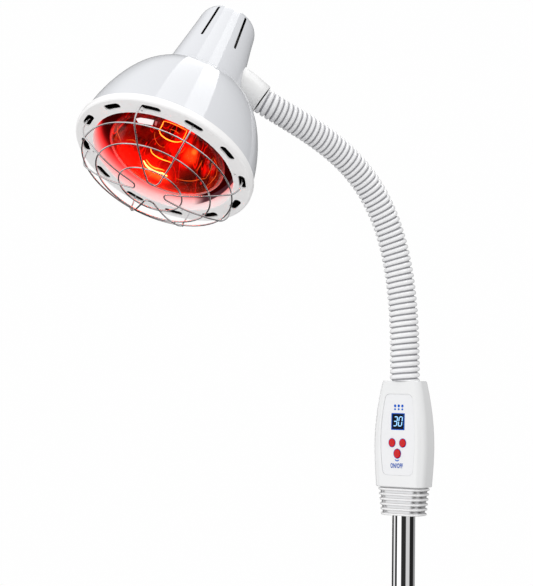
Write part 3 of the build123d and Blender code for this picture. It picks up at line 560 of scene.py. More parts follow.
ASSIGN = {
    "base_cover": "base", "base_weight": "iron", "base_plate": "zinc", "base_feet": "rubber", "hub_cap": "rubber",
    "base_nut": "zinc", "lower_tube": "chrome", "clamp_collar": "clamp", "clamp_knob": "black", "guide_bush": "nylon",
    "upper_tube": "chrome", "ribbed_collar": "collar", "front_shell": "gloss", "rear_shell": "gloss",
    "shell_screws": "zinc", "keypad_panel": "panel", "display_window": "display", "display_module": "display",
    "control_board": "pcb", "tact_switches": "black", "button_left": "red", "button_right": "red",
    "button_power": "red", "power_board": "pcb", "terminal_block": "nylon", "tube_socket": "zinc",
    "neck_nut": "zinc", "cable_gland": "black", "connector": "satin", "connector_nut": "zinc",
    "neck_cover": "neck", "neck_saddle": "satin", "neck_screws": "zinc", "shade_bell": "bell",
    "front_ring": "ring", "inner_reflector": "reflector", "guard_rings": "wire", "guard_hairpins": "wire", "bulb_glass": "glass",
    "bulb_cap": "brass", "bulb_stem": "ceramic", "bulb_filament": "zinc", "lamp_socket": "ceramic",
    "socket_bracket": "zinc", "socket_screws": "zinc",
}
for k in range(7):
    ASSIGN["sleeve_%d" % k] = "sleeve"
    ASSIGN["conduit_%d" % k] = "zinc"
for node, key in ASSIGN.items():
    o = nodes[node]
    if not o.material_slots:
        o.data.materials.append(M[key])
    for s in o.material_slots:
        s.material = M[key]



def hp(x, y, z):
    """Head coordinates in millimetres (z behind the rim plane) to metres."""
    return (CR + x * HU + y * HV + z * HB) * MM


def lathe(name, profile, material, segs=128, close=False, uv=True, th0=0.0, th1=360.0):
    """A surface turned about the light's axis; profile is (radius, s) in millimetres, outward normals when s falls."""
    full = abs(th1 - th0) >= 359.99
    nseg = segs if full else segs + 1
    verts, faces, uvs = [], [], []
    rings = []
    for j, (r, z) in enumerate(profile):
        if r < 1e-6:
            rings.append([len(verts)])
            verts.append(hp(0, 0, z))
            continue
        row = []
        for i in range(nseg):
            a = math.radians(th0 + (th1 - th0) * i / segs)
            row.append(len(verts))
            verts.append(hp(r * math.cos(a), r * math.sin(a), z))
        rings.append(row)
    L = [0.0]
    for a, b in zip(profile[:-1], profile[1:]):
        L.append(L[-1] + math.hypot(b[0] - a[0], b[1] - a[1]))
    tot = max(L[-1], 1e-9)
    pairs = list(zip(range(len(rings) - 1), range(1, len(rings))))
    if close:
        pairs.append((len(rings) - 1, 0))
    for j, k in pairs:
        A, B = rings[j], rings[k]
        va, vb = L[j] / tot, (L[k] / tot if k else 1.0)
        for i in range(segs):
            i2 = (i + 1) % nseg if full else i + 1
            u0, u1 = i / segs, (i + 1) / segs
            if len(A) == 1 and len(B) == 1:
                continue
            if len(A) == 1:
                faces.append((A[0], B[i2], B[i])); uvs += [((u0 + u1) / 2, va), (u1, vb), (u0, vb)]
            elif len(B) == 1:
                faces.append((A[i], A[i2], B[0])); uvs += [(u0, va), (u1, va), ((u0 + u1) / 2, vb)]
            else:
                faces.append((A[i], A[i2], B[i2], B[i])); uvs += [(u0, va), (u1, va), (u1, vb), (u0, vb)]
    o = mesh_obj(name, verts, faces, material)
    if uv:
        layer = o.data.uv_layers.new(name="UVMap")
        flat = [c for q in uvs for c in q]
        layer.data.foreach_set("uv", flat)
    return o


def smooth_profile(pts, n):
    return [tuple(p) for p in spline_pts(pts, n)]


def sweep_tube(name, pts, radius, material, segs=10, closed=False, taper=None, up=None):
    """A round wire along pts (metres); radius in metres."""
    P = np.array(pts, float)
    n = len(P)
    if closed:
        T = np.roll(P, -1, 0) - np.roll(P, 1, 0)
    else:
        T = np.gradient(P, axis=0)
    T /= np.linalg.norm(T, axis=1)[:, None]
    a = np.array([0.0, 0, 1.0]) if up is None else np.array(up, float)
    if abs(T[0] @ a) > 0.95:
        a = np.array([1.0, 0, 0])
    e = a - T[0] * (a @ T[0]); e /= np.linalg.norm(e)
    E = [e]
    for i in range(1, n):
        v = E[-1] - T[i] * (E[-1] @ T[i])
        E.append(v / np.linalg.norm(v))
    twist = 0.0
    if closed:
        v = E[-1] - T[0] * (E[-1] @ T[0]); v /= np.linalg.norm(v)
        twist = math.atan2(np.cross(v, E[0]) @ T[0], v @ E[0])
    verts, faces = [], []
    for i in range(n):
        f = twist * i / n if closed else 0.0
        e1 = E[i]; e2 = np.cross(T[i], e1)
        rr = radius if taper is None else radius * taper[i]
        for k in range(segs):
            b = 2 * math.pi * k / segs + f
            verts.append(P[i] + rr * (math.cos(b) * e1 + math.sin(b) * e2))
    m = n if closed else n - 1
    for i in range(m):
        i2 = (i + 1) % n
        for k in range(segs):
            k2 = (k + 1) % segs
            faces.append((i * segs + k, i * segs + k2, i2 * segs + k2, i2 * segs + k))
    if not closed:
        faces.append(tuple(range(segs))[::-1])
        faces.append(tuple((n - 1) * segs + k for k in range(segs)))
    return mesh_obj(name, verts, faces, material)


def join(name, objs):
    """Puts several meshes into one object."""
    verts, faces, mats, idx, uvs, any_uv = [], [], [], [], [], False
    for o in objs:
        any_uv = any_uv or bool(o.data.uv_layers)
    for o in objs:
        base = len(verts)
        mp = []
        for mm in o.data.materials:
            if mm not in mats:
                mats.append(mm)
            mp.append(mats.index(mm))
        verts += [tuple(v.co) for v in o.data.vertices]
        ul = o.data.uv_layers[0].data if o.data.uv_layers else None
        for p in o.data.polygons:
            faces.append(tuple(base + i for i in p.vertices))
            idx.append(mp[p.material_index])
            for li in p.loop_indices:
                uvs += [ul[li].uv[0], ul[li].uv[1]] if ul else [0.0, 0.0]
    smooth = [p.use_smooth for o in objs for p in o.data.polygons]
    r = mesh_obj(name, verts, faces, None, mats=mats, idx=idx)
    r.data.polygons.foreach_set("use_smooth", smooth)
    if any_uv:
        r.data.uv_layers.new(name="UVMap").data.foreach_set("uv", uvs)
    for o in objs:
        me = o.data
        bpy.data.objects.remove(o)
        bpy.data.meshes.remove(me)
    return r


# ------------------------------------------------------------------ the ribbed sleeve of the gooseneck
ZT = 671.0
BZ = np.array([(0.0, 0.0, 0.0), (0.0, 0.0, 97.35), (-6.92, 2.37, 190.61), (-35.96, -24.36, 249.91),
               (-66.0, -102.58, 263.5), (-104.47, -140.23, 294.62)])
tt = np.linspace(0, 1, 4001)
bern = np.array([math.comb(5, i) * (1 - tt) ** (5 - i) * tt ** i for i in range(6)])
CL = bern.T @ BZ + np.array([0, 0, ZT])
SL = np.concatenate([[0], np.cumsum(np.linalg.norm(np.diff(CL, axis=0), axis=1))])
LEN = SL[-1]
TG = np.gradient(CL, axis=0)
TG /= np.linalg.norm(TG, axis=1)[:, None]
e1 = np.array([1.0, 0, 0])
E1 = np.zeros_like(CL)
for i in range(len(CL)):
    e1 = e1 - TG[i] * (e1 @ TG[i])
    e1 = e1 / np.linalg.norm(e1)
    E1[i] = e1
E2 = np.cross(TG, E1)


def neck_frame(S):
    f = np.clip(np.searchsorted(SL, S) - 1, 0, len(SL) - 2)
    w = (S - SL[f]) / (SL[f + 1] - SL[f])
    w = w[:, None]
    p = CL[f] * (1 - w) + CL[f + 1] * w
    t = TG[f] * (1 - w) + TG[f + 1] * w
    a = E1[f] * (1 - w) + E1[f + 1] * w
    b = E2[f] * (1 - w) + E2[f + 1] * w
    n = lambda q: q / np.linalg.norm(q, axis=1)[:, None]
    return p, n(t), n(a), n(b)


def S_of_N(N):
    return (6.45 / 0.0019) * (1 - np.exp(-0.0019 * np.maximum(N, 0.0)))


SEG = 64
# one rib from groove to groove: (fraction of the pitch, height 0..1)
RIB = []
for q in np.linspace(-90, 90, 13):
    x = 0.39 * math.sin(math.radians(q))
    RIB.append((0.5 + x, 0.04 + 0.96 * max(0.0, math.cos(math.radians(q))) ** 0.85))
RIB = [(0.0, 0.0)] + RIB
NV = len(RIB)
NTURN = int(round(-math.log(1 - 0.0019 * LEN / 6.45) / 0.0019))
TH0 = 0.25                     # the strip's ends lie on the side away from the panel
MIDS = [66.5, 127.5, 188.5, 249.5, 310.5]


def N_of_S(S):
    return -math.log(1 - 0.0019 * S / 6.45) / 0.0019


cuts = [-1] + [int(round(N_of_S(m))) for m in MIDS] + [NTURN + 1]
CON_O = np.array([-104.47, -140.23, 965.62])           # where the connector begins, and the way it points
CON_D = np.array([-0.6774, -0.4617, 0.5726])
CON_D = CON_D / np.linalg.norm(CON_D)
HEIGHT = [h for v, h in RIB] + [0.0]
sleeves = []
for j in range(6):
    a, b = cuts[j], cuts[j + 1]
    steps = (b - a) * SEG
    th = np.arange(steps + 1) / SEG + a + TH0          # in turns
    rows = []
    for v, h in RIB + [(1.0, 0.0)]:
        N = th + (v - 0.5)
        S = np.clip(S_of_N(N), 0.0, LEN - 0.4)
        p, t, ea, eb = neck_frame(S)
        ro = 16.38 - 0.0051 * S
        ri = ro - 2.6
        r = ri + (ro - ri) * h
        ang = 2 * math.pi * th
        row = p + r[:, None] * (np.cos(ang)[:, None] * ea + np.sin(ang)[:, None] * eb)
        # the last turns lean until they meet the connector's end face squarely
        w = np.clip((S - (LEN - 16.0)) / 15.6, 0.0, 1.0)[:, None] ** 1.5
        gap = ((row - p) @ CON_D)[:, None]
        row = row - t * gap * w
        rows.append(row)
    rows = np.array(rows)                              # rib point, step, xyz
    verts, index = [], np.zeros((NV + 1, steps + 1), int)
    for k in range(NV):
        for i in range(steps + 1):
            index[k, i] = len(verts)
            verts.append(rows[k, i] * MM)
    # the last edge of one turn is the first edge of the next
    for i in range(steps + 1):
        if i + SEG <= steps:
            index[NV, i] = index[0, i + SEG]
        else:
            index[NV, i] = len(verts)
            verts.append(rows[NV, i] * MM)
    faces, uvs = [], []
    for k in range(NV):
        for i in range(steps):
            q = (index[k, i], index[k, i + 1], index[k + 1, i + 1], index[k + 1, i])
            z = [verts[c] for c in q]
            if np.linalg.norm(np.cross(z[1] - z[0], z[3] - z[0])) + np.linalg.norm(np.cross(z[1] - z[2], z[3] - z[2])) < 1e-11:
                continue
            faces.append(q)
            for a_, h in ((0, HEIGHT[k]), (1, HEIGHT[k]), (1, HEIGHT[k + 1]), (0, HEIGHT[k + 1])):
                uvs += [(i + a_) / steps, h]
    o = mesh_obj("ribbed_sleeve_%d" % j, verts, faces, M["sleeve"])
    o.data.uv_layers.new(name="UVMap").data.foreach_set("uv", uvs)
    bm = bmesh.new(); bm.from_mesh(o.data)
    loose = [v for v in bm.verts if not v.link_faces]
    bmesh.ops.delete(bm, geom=loose, context="VERTS")
    bm.to_mesh(o.data); bm.free()
    sleeves.append(o)
    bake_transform(o)
    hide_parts("sleeve_%d" % j, *(["sleeve_6"] if j == 5 else []))


# ------------------------------------------------------------------ the connector: a slim core on the arm, and the cover that turns with the head
def turned(name, org, axis, prof, material, segs=96):
    """A closed ring turned about an axis; prof is the closed (radius, height) outline in millimetres."""
    a = np.array([0, 0, 1.0]) - axis * axis[2]
    a /= np.linalg.norm(a)
    b = np.cross(axis, a)
    V_, F_ = [], []
    n_ = len(prof)
    for i in range(segs):
        t_ = 2 * math.pi * i / segs
        for r, z in prof:
            V_.append((org + axis * z + r * (math.cos(t_) * a + math.sin(t_) * b)) * MM)
    for i in range(segs):
        i2 = (i + 1) % segs
        for k in range(n_):
            k2 = (k + 1) % n_
            F_.append((i * n_ + k, i2 * n_ + k, i2 * n_ + k2, i * n_ + k2))
    o = mesh_obj(name, V_, F_, material)
    bm = bmesh.new(); bm.from_mesh(o.data)
    bmesh.ops.recalc_face_normals(bm, faces=bm.faces)
    bm.to_mesh(o.data); bm.free()
    return o


core = turned("connector_core", CON_O, CON_D, [(8.2, 1.0), (14.4, 1.0), (14.9, 1.5), (16.2, 20.2), (16.2, 23.0), (15.6, 23.6), (8.2, 23.6), (8.2, 46.0), (5.3, 46.0), (5.3, 19.0), (8.2, 17.0)], M["satin"])
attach(core, "arm")
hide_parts("connector")
cover = turned("connector_cover", CON_O, CON_D,
               [(16.05, 0.85), (16.45, 1.0), (16.7, 1.5), (17.4, 8.0), (18.05, 16.0), (18.3, 21.0), (18.4, 30.0), (18.4, 47.0), (17.0, 47.0), (17.0, 24.6), (16.7, 20.6), (15.6, 4.0), (15.4, 1.2)], M["satin"])
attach(cover, "head")
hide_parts("neck_saddle")

# ------------------------------------------------------------------ the bulb
B_OUT = [(0.0, -8.6), (20.0, -7.6), (38.0, -4.4), (51.0, 0.2), (58.5, 4.6), (62.0, 9.5), (62.4, 14.0), (60.6, 22.0),
         (54.5, 38.0), (46.0, 54.0), (36.0, 71.0), (27.5, 88.0), (21.5, 104.0), (18.6, 120.0), (17.6, 134.0), (15.2, 141.0), (13.2, 145.6)]
B_IN = [(0.0, -7.3), (19.6, -6.3), (37.3, -3.2), (49.9, 1.3), (57.2, 5.6), (60.5, 9.9), (61.0, 13.9), (59.3, 21.8),
        (53.2, 37.6), (44.8, 53.4), (34.8, 70.4), (26.3, 87.4), (20.3, 103.6), (17.4, 119.8), (16.4, 133.6), (14.2, 140.4), (12.0, 145.6)]


def profile(pts, n):
    q = spline_pts(pts, n)
    q[:, 0] = np.maximum(q[:, 0], 0.0)
    q[0, 0] = 0.0 if pts[0][0] == 0.0 else q[0, 0]
    return [tuple(v) for v in q]


po, pi_ = profile(B_OUT, 90), profile(B_IN, 90)
shell = lathe("bulb_envelope", po + pi_[::-1], M["red_glass"], segs=160)
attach(shell, "head")
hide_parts("bulb_glass")
inn = [p for p in profile(B_IN, 240) if 9.9 < p[1] < 133.0 and p[0] < 62.0]
m_in = [(r - 0.75, s) for r, s in inn]
m_out = [(r - 0.35, s) for r, s in inn]
m_in = [(r + 0.38 * max(0.0, 1.0 - k_ / 5.0), s) for k_, (r, s) in enumerate(m_in)]
mirror = lathe("bulb_silvering", m_in + m_out[::-1], M["mirror"], segs=160, close=True, th0=270.0, th1=630.0)
# the texture coordinate along the profile counts on the inner face only
uvd = mirror.data.uv_layers[0].data
for p in mirror.data.polygons:
    for li in p.loop_indices:
        v = Vector(mirror.data.vertices[mirror.data.loops[li].vertex_index].co) * 1000.0
        s = float((np.array(v) - CR) @ HB)
        uvd[li].uv[1] = (s - 13.5) / 119.5 * 0.86
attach(mirror, "head")


def on_mirror(theta, s, lift=0.9):
    r = np.interp(s, [p[1] for p in inn], [p[0] for p in inn]) - 0.75 - lift
    a = math.radians(theta)
    return hp(r * math.cos(a), r * math.sin(a), s)


def glint(name, pts, width, mat, lift=0.6):
    """A bright reflex that lies on the silvered wall; pts are (angle, s)."""
    q = spline_pts([(t, s, 0.0) for t, s in pts], 8 * len(pts))
    P = [on_mirror(t, s, lift) for t, s, _ in q]
    n = len(P)
    tp = [0.35 + 0.65 * math.sin(math.pi * (i + 0.5) / n) ** 0.5 for i in range(n)]
    return sweep_tube(name, P, width * 0.72 * MM, mat, segs=8, taper=tp)


G = []
G.append(glint("g1", [(138, 66.3), (126, 69.0), (111, 70.2), (94, 69.6)], 0.40, M["glint_warm"]))
G.append(glint("g2", [(138, 66.3), (135.5, 61.5), (135, 56.9)], 0.58, M["glint_warm"]))
G.append(glint("g3", [(94, 69.6), (95, 63.7), (97, 58.8)], 0.43, M["glint_warm"]))
G.append(glint("g4", [(134, 57.5), (130, 55.9), (122, 55.1), (112, 55.5), (104, 56.7), (96, 59.1)], 0.79, M["glint_warm"]))
G.append(glint("g5", [(138, 54.0), (134, 50.4), (128, 47.7), (120, 46.4), (114, 47.6)], 0.40, M["glint_dim"]))
G.append(glint("g6", [(129, 39.3), (125, 36.9), (118, 36.0), (110, 36.3), (103, 37.0), (99, 37.0)], 0.72, M["glint_warm"]))
G.append(glint("g7", [(128, 25.5), (122, 23.0), (116, 22.2), (109, 22.8), (104, 24.1), (98, 23.2)], 1.37, M["glint_hot"]))
G.append(glint("g8", [(126, 28.0), (118, 25.6), (110, 26.0), (103, 27.5)], 0.72, M["glint_warm"]))
G.append(glint("g9", [(88, 55.0), (92, 49.2), (97, 45.1)], 0.36, M["glint_dim"]))
G.append(glint("g10", [(190, 22.2), (183, 20.7), (172, 21.7), (164, 21.0)], 0.43, M["glint_dim"]))
G.append(glint("g11", [(160, 27.7), (152, 33.7), (147, 32.7)], 0.43, M["glint_dim"]))
G.append(glint("g12", [(88, 23.6), (79, 23.4), (70, 23.9), (61, 25.5), (52, 25.8)], 0.54, M["glint_dim"]))
G.append(glint("g13", [(52, 25.8), (47, 31.2), (43, 37.5), (43, 44.2)], 0.47, M["glint_dim"]))
G.append(glint("g14", [(68, 33.8), (63, 38.9), (60, 44.5)], 0.40, M["glint_dim"]))
G.append(glint("g15", [(41, 44.7), (33, 34.6), (33, 25.2), (41, 20.1), (50, 16.0)], 0.32, M["glint_dim"]))
G.append(glint("g16", [(122, 64.0), (114, 65.0), (104, 64.6)], 0.36, M["glint_dim"]))
G.append(glint("g17", [(118, 42.0), (110, 42.8), (104, 41.0)], 0.32, M["glint_dim"]))
glints = join("filament_reflexes", G)
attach(glints, "head")

# the coiled filament on its ring, with three hooked supports
P = []
N = 1500
for i in range(N):
    u = i / (N - 1)
    a = math.radians(25 + 310 * u)
    w = 2 * math.pi * 92 * u
    r = 15.0 + 1.25 * math.cos(w)
    P.append(hp(r * math.cos(a), r * math.sin(a), 62.0 + 1.25 * math.sin(w)))
coil = sweep_tube("coil_wire", P, 0.24 * MM, M["filament"], segs=6)
legs = []
for a in (25, 335):
    c, s_ = math.cos(math.radians(a)), math.sin(math.radians(a))
    legs.append(sweep_tube("leg%d" % a, [hp(*v) for v in spline_pts([(16.2 * c, 16.2 * s_, 62.0), (15.5 * c, 15.5 * s_, 66), (10 * c, 10 * s_, 84), (4.5 * c, 4.5 * s_, 104)], 24)], 0.5 * MM, M["wire"], segs=8))
for a in (100, 180, 260):
    c, s_ = math.cos(math.radians(a)), math.sin(math.radians(a))
    legs.append(sweep_tube("sup%d" % a, [hp(*v) for v in spline_pts([(17.2 * c, 17.2 * s_, 61.2), (16.9 * c, 16.9 * s_, 60.4), (15.4 * c, 15.4 * s_, 60.3), (14.6 * c, 14.6 * s_, 63), (9 * c, 9 * s_, 84), (3.8 * c, 3.8 * s_, 100)], 36)], 0.3 * MM, M["wire"], segs=8))
fil = join("filament_coil", [coil] + legs)
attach(fil, "head")
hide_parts("bulb_filament")

# ------------------------------------------------------------------ the wire guard
WR = 0.80
rings = []
for r, h in ((80.8, 17.3), (61.4, 27.4), (34.0, 34.5)):
    rings.append(sweep_tube("ring%d" % int(r), [hp(r * math.cos(2 * math.pi * i / 200), r * math.sin(2 * math.pi * i / 200), -h) for i in range(200)],
                            WR * MM, M["wire"], segs=14, closed=True))
guard = join("guard_ring_wires", rings)
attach(guard, "head")
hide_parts("guard_rings")

PINS = [  # the two legs' angles at the outer, middle and inner ring, the bend's reach, and how far the feet bow out
    ((258.5, 260.5, 264.0), (295.0, 296.0, 298.5), 15.0, 1.0),
    ((167.5, 171.0, 173.5), (205.0, 207.5, 208.5), 14.0, 0.8),
    ((73.0, 71.0, 73.5), (115.0, 114.0, 112.0), 14.0, 0.0),
    ((354.0, 350.5, 348.5), (393.5, 388.5, 384.0), 15.0, 1.0),
]
pins = []


def xy(r, th):
    a = math.radians(th)
    return np.array([r * math.cos(a), r * math.sin(a)])


for k, (A, B, tipr, bow) in enumerate(PINS):
    legs2 = []
    for T in (A, B):
        pull = 2.2 if bow == 0.0 else 0.0
        hook = [np.append(xy(85.2 - pull, T[0] + 0.6), 2.6), np.append(xy(86.2 - pull, T[0] + 0.4), 0.2), np.append(xy(85.4 - pull + 1.6 * bow, T[0] + 0.2), -5.0),
                np.append(xy(84.2 - pull + 2.7 * bow, T[0]), -10.5), np.append(xy(82.9 - pull + 1.7 * bow, T[0]), -15.6)]
        leg = [np.append(xy(82.0 - pull, T[0]), -18.5), np.append(xy(72.0, (T[0] + T[1]) / 2), -24.4), np.append(xy(61.8, T[1]), -29.2),
               np.append(xy(48.0, (T[1] + T[2]) / 2), -33.6), np.append(xy(34.2, T[2]), -36.3)]
        legs2.append(hook + leg)
    a3, b3 = legs2[0][-1], legs2[1][-1]
    da = a3 - legs2[0][-3]; da /= np.linalg.norm(da)
    db = b3 - legs2[1][-3]; db /= np.linalg.norm(db)
    mid = (a3 + b3) / 2
    inward = -mid[:2] / np.linalg.norm(mid[:2])
    depth = np.linalg.norm(mid[:2]) - tipr
    ca, cb = a3 + da * depth * 0.62, b3 + db * depth * 0.62
    tip = np.append((ca[:2] + cb[:2]) / 2 + inward * depth * 0.36, -38.2)
    w_ = (ca[:2] - cb[:2])
    t1 = np.append(tip[:2] + w_ * 0.30 - inward * depth * 0.07, -38.1)
    t2 = np.append(tip[:2] - w_ * 0.30 - inward * depth * 0.07, -38.1)
    ca[2] = cb[2] = -37.6
    path = legs2[0] + [ca, t1, tip, t2, cb] + legs2[1][::-1]
    q = spline_pts(path, 260)
    pins.append(sweep_tube("pin%d" % k, [hp(*v) for v in q], WR * MM, M["wire"], segs=12))
pins = join("guard_hairpin_wires", pins)
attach(pins, "head")
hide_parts("guard_hairpins")

# small weld beads where the hairpins cross the rings
beads = []
for A, B, tipr, bow in PINS:
    for T in (A, B):
        for (r, h), th in zip(((81.4, 17.9), (61.6, 28.3), (34.1, 35.4)), T):
            c = np.append(xy(r, th), -h)
            V_, F_ = [], []
            for i in range(7):
                for j in range(10):
                    ph, ps = math.pi * i / 6, 2 * math.pi * j / 10
                    e_r = np.append(xy(1.0, th), 0.0); e_t = np.array([-e_r[1], e_r[0], 0.0])
                    V_.append(hp(*(c + 1.05 * math.sin(ph) * math.cos(ps) * e_r + 1.35 * math.sin(ph) * math.sin(ps) * e_t + np.array([0, 0, 0.75 * math.cos(ph)]))))
            for i in range(6):
                for j in range(10):
                    F_.append((i * 10 + j, i * 10 + (j + 1) % 10, (i + 1) * 10 + (j + 1) % 10, (i + 1) * 10 + j))
            beads.append(mesh_obj("bead", V_, F_, M["wire"]))
beads = join("guard_weld_beads", beads)
bm = bmesh.new(); bm.from_mesh(beads.data)
bmesh.ops.remove_doubles(bm, verts=bm.verts, dist=1e-6)
bmesh.ops.recalc_face_normals(bm, faces=bm.faces)
bm.to_mesh(beads.data); bm.free()
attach(beads, "head")

# ------------------------------------------------------------------ printing on the keypad
from mathutils.bvhtree import BVHTree


def tree(*names):
    V_, F_ = [], []
    for nme in names:
        o = nodes[nme]
        b0 = len(V_)
        V_ += [o.matrix_world @ v.co for v in o.data.vertices]
        F_ += [tuple(b0 + i for i in p.vertices) for p in o.data.polygons]
    return BVHTree.FromPolygons(V_, F_)


PANEL = tree("keypad_panel", "display_window")
BTN = {b: tree(b) for b in ("button_left", "button_right", "button_power")}
ZB = 556.0


def front(x, h, bvh, lift):
    hit = bvh.ray_cast(Vector((x * MM, -0.10, (ZB + h) * MM)), Vector((0, 1, 0)))
    y = hit[0].y if hit[0] is not None else -0.0175
    return (x * MM, y - lift * MM, (ZB + h) * MM)


def decal(name, loops, material, bvh, lift=0.05, thick=0.05, body="mast"):
    """Thin raised print: each loop is a closed outline of (x, h) points, or (outer, inner) of equal length for a ring."""
    V_, F_ = [], []
    for lp in loops:
        ring = isinstance(lp, tuple)
        rows = [lp[0], lp[1]] if ring else [lp]
        idx = []
        for row in rows:
            idx.append(([], []))
            for x, h in row:
                idx[-1][0].append(len(V_)); V_.append(front(x, h, bvh, lift + thick))
                idx[-1][1].append(len(V_)); V_.append(front(x, h, bvh, lift - 0.03))
        n = len(rows[0])
        if ring:
            (a0, a1), (b0, b1) = idx
            for i in range(n):
                j = (i + 1) % n
                F_ += [(a0[i], a0[j], b0[j], b0[i]), (a1[j], a1[i], b1[i], b1[j]), (a0[j], a0[i], a1[i], a1[j]), (b0[i], b0[j], b1[j], b1[i])]
        else:
            a0, a1 = idx[0]
            F_ += [tuple(a0), tuple(a1[::-1])]
            for i in range(n):
                j = (i + 1) % n
                F_.append((a0[j], a0[i], a1[i], a1[j]))
    o = mesh_obj(name, V_, F_, material, smooth=False)
    bm = bmesh.new(); bm.from_mesh(o.data)
    bmesh.ops.recalc_face_normals(bm, faces=bm.faces)
    bm.to_mesh(o.data); bm.free()
    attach(o, body)
    return o


def oval(cx, ch, a, b, n=40, p=2.0):
    out = []
    for i in range(n):
        t = 2 * math.pi * i / n
        c, s_ = math.cos(t), math.sin(t)
        out.append((cx + a * math.copysign(abs(c) ** (2 / p), c), ch + b * math.copysign(abs(s_) ** (2 / p), s_)))
    return out


def box_loop(cx, ch, a, b, n=12):
    out = []
    for (x0, y0), (x1, y1) in (((-a, -b), (a, -b)), ((a, -b), (a, b)), ((a, b), (-a, b)), ((-a, b), (-a, -b))):
        for i in range(n):
            out.append((cx + x0 + (x1 - x0) * i / n, ch + y0 + (y1 - y0) * i / n))
    return out


decal("print_marks", [oval(x, 87.9, 1.35, 1.6) for x in (-3.8, 0.5, 4.8)], M["ink"], PANEL)
decal("print_mark_feet", [oval(x, 84.3, 1.1, 1.1) for x in (-3.8, 0.5, 4.8)], M["ink_pale"], PANEL)
decal("print_display_frame", [(box_loop(0, 71, 7.7, 9.1), box_loop(0, 71, 6.8, 8.2))], M["ink"], PANEL, lift=0.04)
outl = [(oval(-6.6, 48, 4.2, 5.0), oval(-6.6, 48, 3.75, 4.55)), (oval(6.0, 48, 4.2, 5.0), oval(6.0, 48, 3.75, 4.55)),
        (oval(-0.3, 36.4, 4.55, 5.45), oval(-0.3, 36.4, 4.05, 4.95))]
decal("print_button_outlines", outl, M["ring_ink"], PANEL)
arc_o = [(-0.6 + 3.0 * math.sin(math.radians(t)), 31.4 - 3.3 * math.cos(math.radians(t))) for t in np.linspace(-58, 58, 18)]
arc_i = [(-0.6 + 2.6 * math.sin(math.radians(t)), 31.9 - 2.6 * math.cos(math.radians(t))) for t in np.linspace(58, -58, 18)]
decal("print_arc", [arc_o + arc_i], M["ink_pale"], PANEL)
for b, (x, h) in (("button_left", (-6.6, 48)), ("button_right", (6.0, 48)), ("button_power", (-0.3, 36.4))):
    k = 1.0 if b != "button_power" else 1.12
    decal("print_" + b, [(oval(x, h, 1.5 * k, 2.5 * k), oval(x, h, 1.15 * k, 2.15 * k))], M["deep_red"], BTN[b], lift=0.03, thick=0.04,
          body={"button_left": "btn_left", "button_right": "btn_right", "button_power": "btn_power"}[b])


def segment(cx, ch, hw, hh, t, name):
    """One bar of a slanted seven-segment figure."""
    g = 0.22
    m = t / 2
    H = {"a": (-hw, hh, hw, hh), "g": (-hw, 0, hw, 0), "d": (-hw, -hh, hw, -hh)}
    Vt = {"f": (-hw, 0, -hw, hh), "b": (hw, 0, hw, hh), "e": (-hw, -hh, -hw, 0), "c": (hw, -hh, hw, 0)}
    if name in H:
        x0, y, x1, _ = H[name]
        pts = [(x0 + g, y), (x0 + g + m, y + m), (x1 - g - m, y + m), (x1 - g, y), (x1 - g - m, y - m), (x0 + g + m, y - m)]
    else:
        x, y0, _, y1 = Vt[name]
        pts = [(x, y0 + g), (x - m, y0 + g + m), (x - m, y1 - g - m), (x, y1 - g), (x + m, y1 - g - m), (x + m, y0 + g + m)]
    return [(cx + px + 0.13 * py, ch + py) for px, py in pts]


segs_ = []
for cx, letters in ((-2.9, "abgcd"), (2.95, "abcdef")):
    for n_ in letters:
        segs_.append(segment(cx, 71.2, 1.9, 4.9, 0.95, n_))
decal("display_digits", segs_, M["digit"], PANEL, lift=0.05)

# ON/OFF lettering
cu = bpy.data.curves.new("lettering", "FONT")
cu.body = "ON/OFF"
cu.size = 1.0
cu.offset = 0.036
cu.space_character = 1.12
cu.resolution_u = 4
tmp = link(bpy.data.objects.new("lettering_tmp", cu))
bpy.context.view_layer.update()
dg = bpy.context.evaluated_depsgraph_get()
tm = bpy.data.meshes.new_from_object(tmp.evaluated_get(dg))
bpy.data.objects.remove(tmp)
bpy.data.curves.remove(cu)
co = np.array([tuple(v.co) for v in tm.vertices])
lo_, hi_ = co.min(0), co.max(0)
sx, sz = 14.6 / (hi_[0] - lo_[0]), 5.3 / (hi_[1] - lo_[1])
bm = bmesh.new(); bm.from_mesh(tm)
res = bmesh.ops.extrude_face_region(bm, geom=bm.faces[:])
back = {v for v in res["geom"] if isinstance(v, bmesh.types.BMVert)}
for v in bm.verts:
    x = -1.0 + (v.co.x - (lo_[0] + hi_[0]) / 2) * sx
    h = 23.4 + (v.co.y - (lo_[1] + hi_[1]) / 2) * sz
    v.co = Vector(front(x, h, PANEL, 0.02 if v in back else 0.10))
bmesh.ops.recalc_face_normals(bm, faces=bm.faces)
bm.to_mesh(tm); bm.free()
tm.materials.clear(); tm.materials.append(M["ink_text"])
text = link(bpy.data.objects.new("print_on_off", tm))
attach(text, "mast")

# the ribbed collar as one even skin: oval, tapering down, six round rings
def oval_ring(z, t, n=192):
    f_ = (z - 525.0) / 31.0
    a_, b_, r_ = 24.3 + f_ * 3.3 - t, 17.2 - f_ * 0.5 - t, 14.0 - f_ * 2.0 - t
    out_ = []
    for i_ in range(n):
        th = 2 * math.pi * i_ / n
        c_, s_ = math.cos(th), math.sin(th)
        # a point of the rounded rectangle whose normal points to th
        out_.append((math.copysign(a_ - r_, c_) * min(1.0, abs(c_) * 14) + r_ * c_, math.copysign(b_ - r_, s_) * min(1.0, abs(s_) * 14) + r_ * s_, z))
    return out_


def bore_ring(z, n=192):
    return [(12.6 * math.cos(2 * math.pi * i_ / n), 12.6 * math.sin(2 * math.pi * i_ / n), z) for i_ in range(n)]


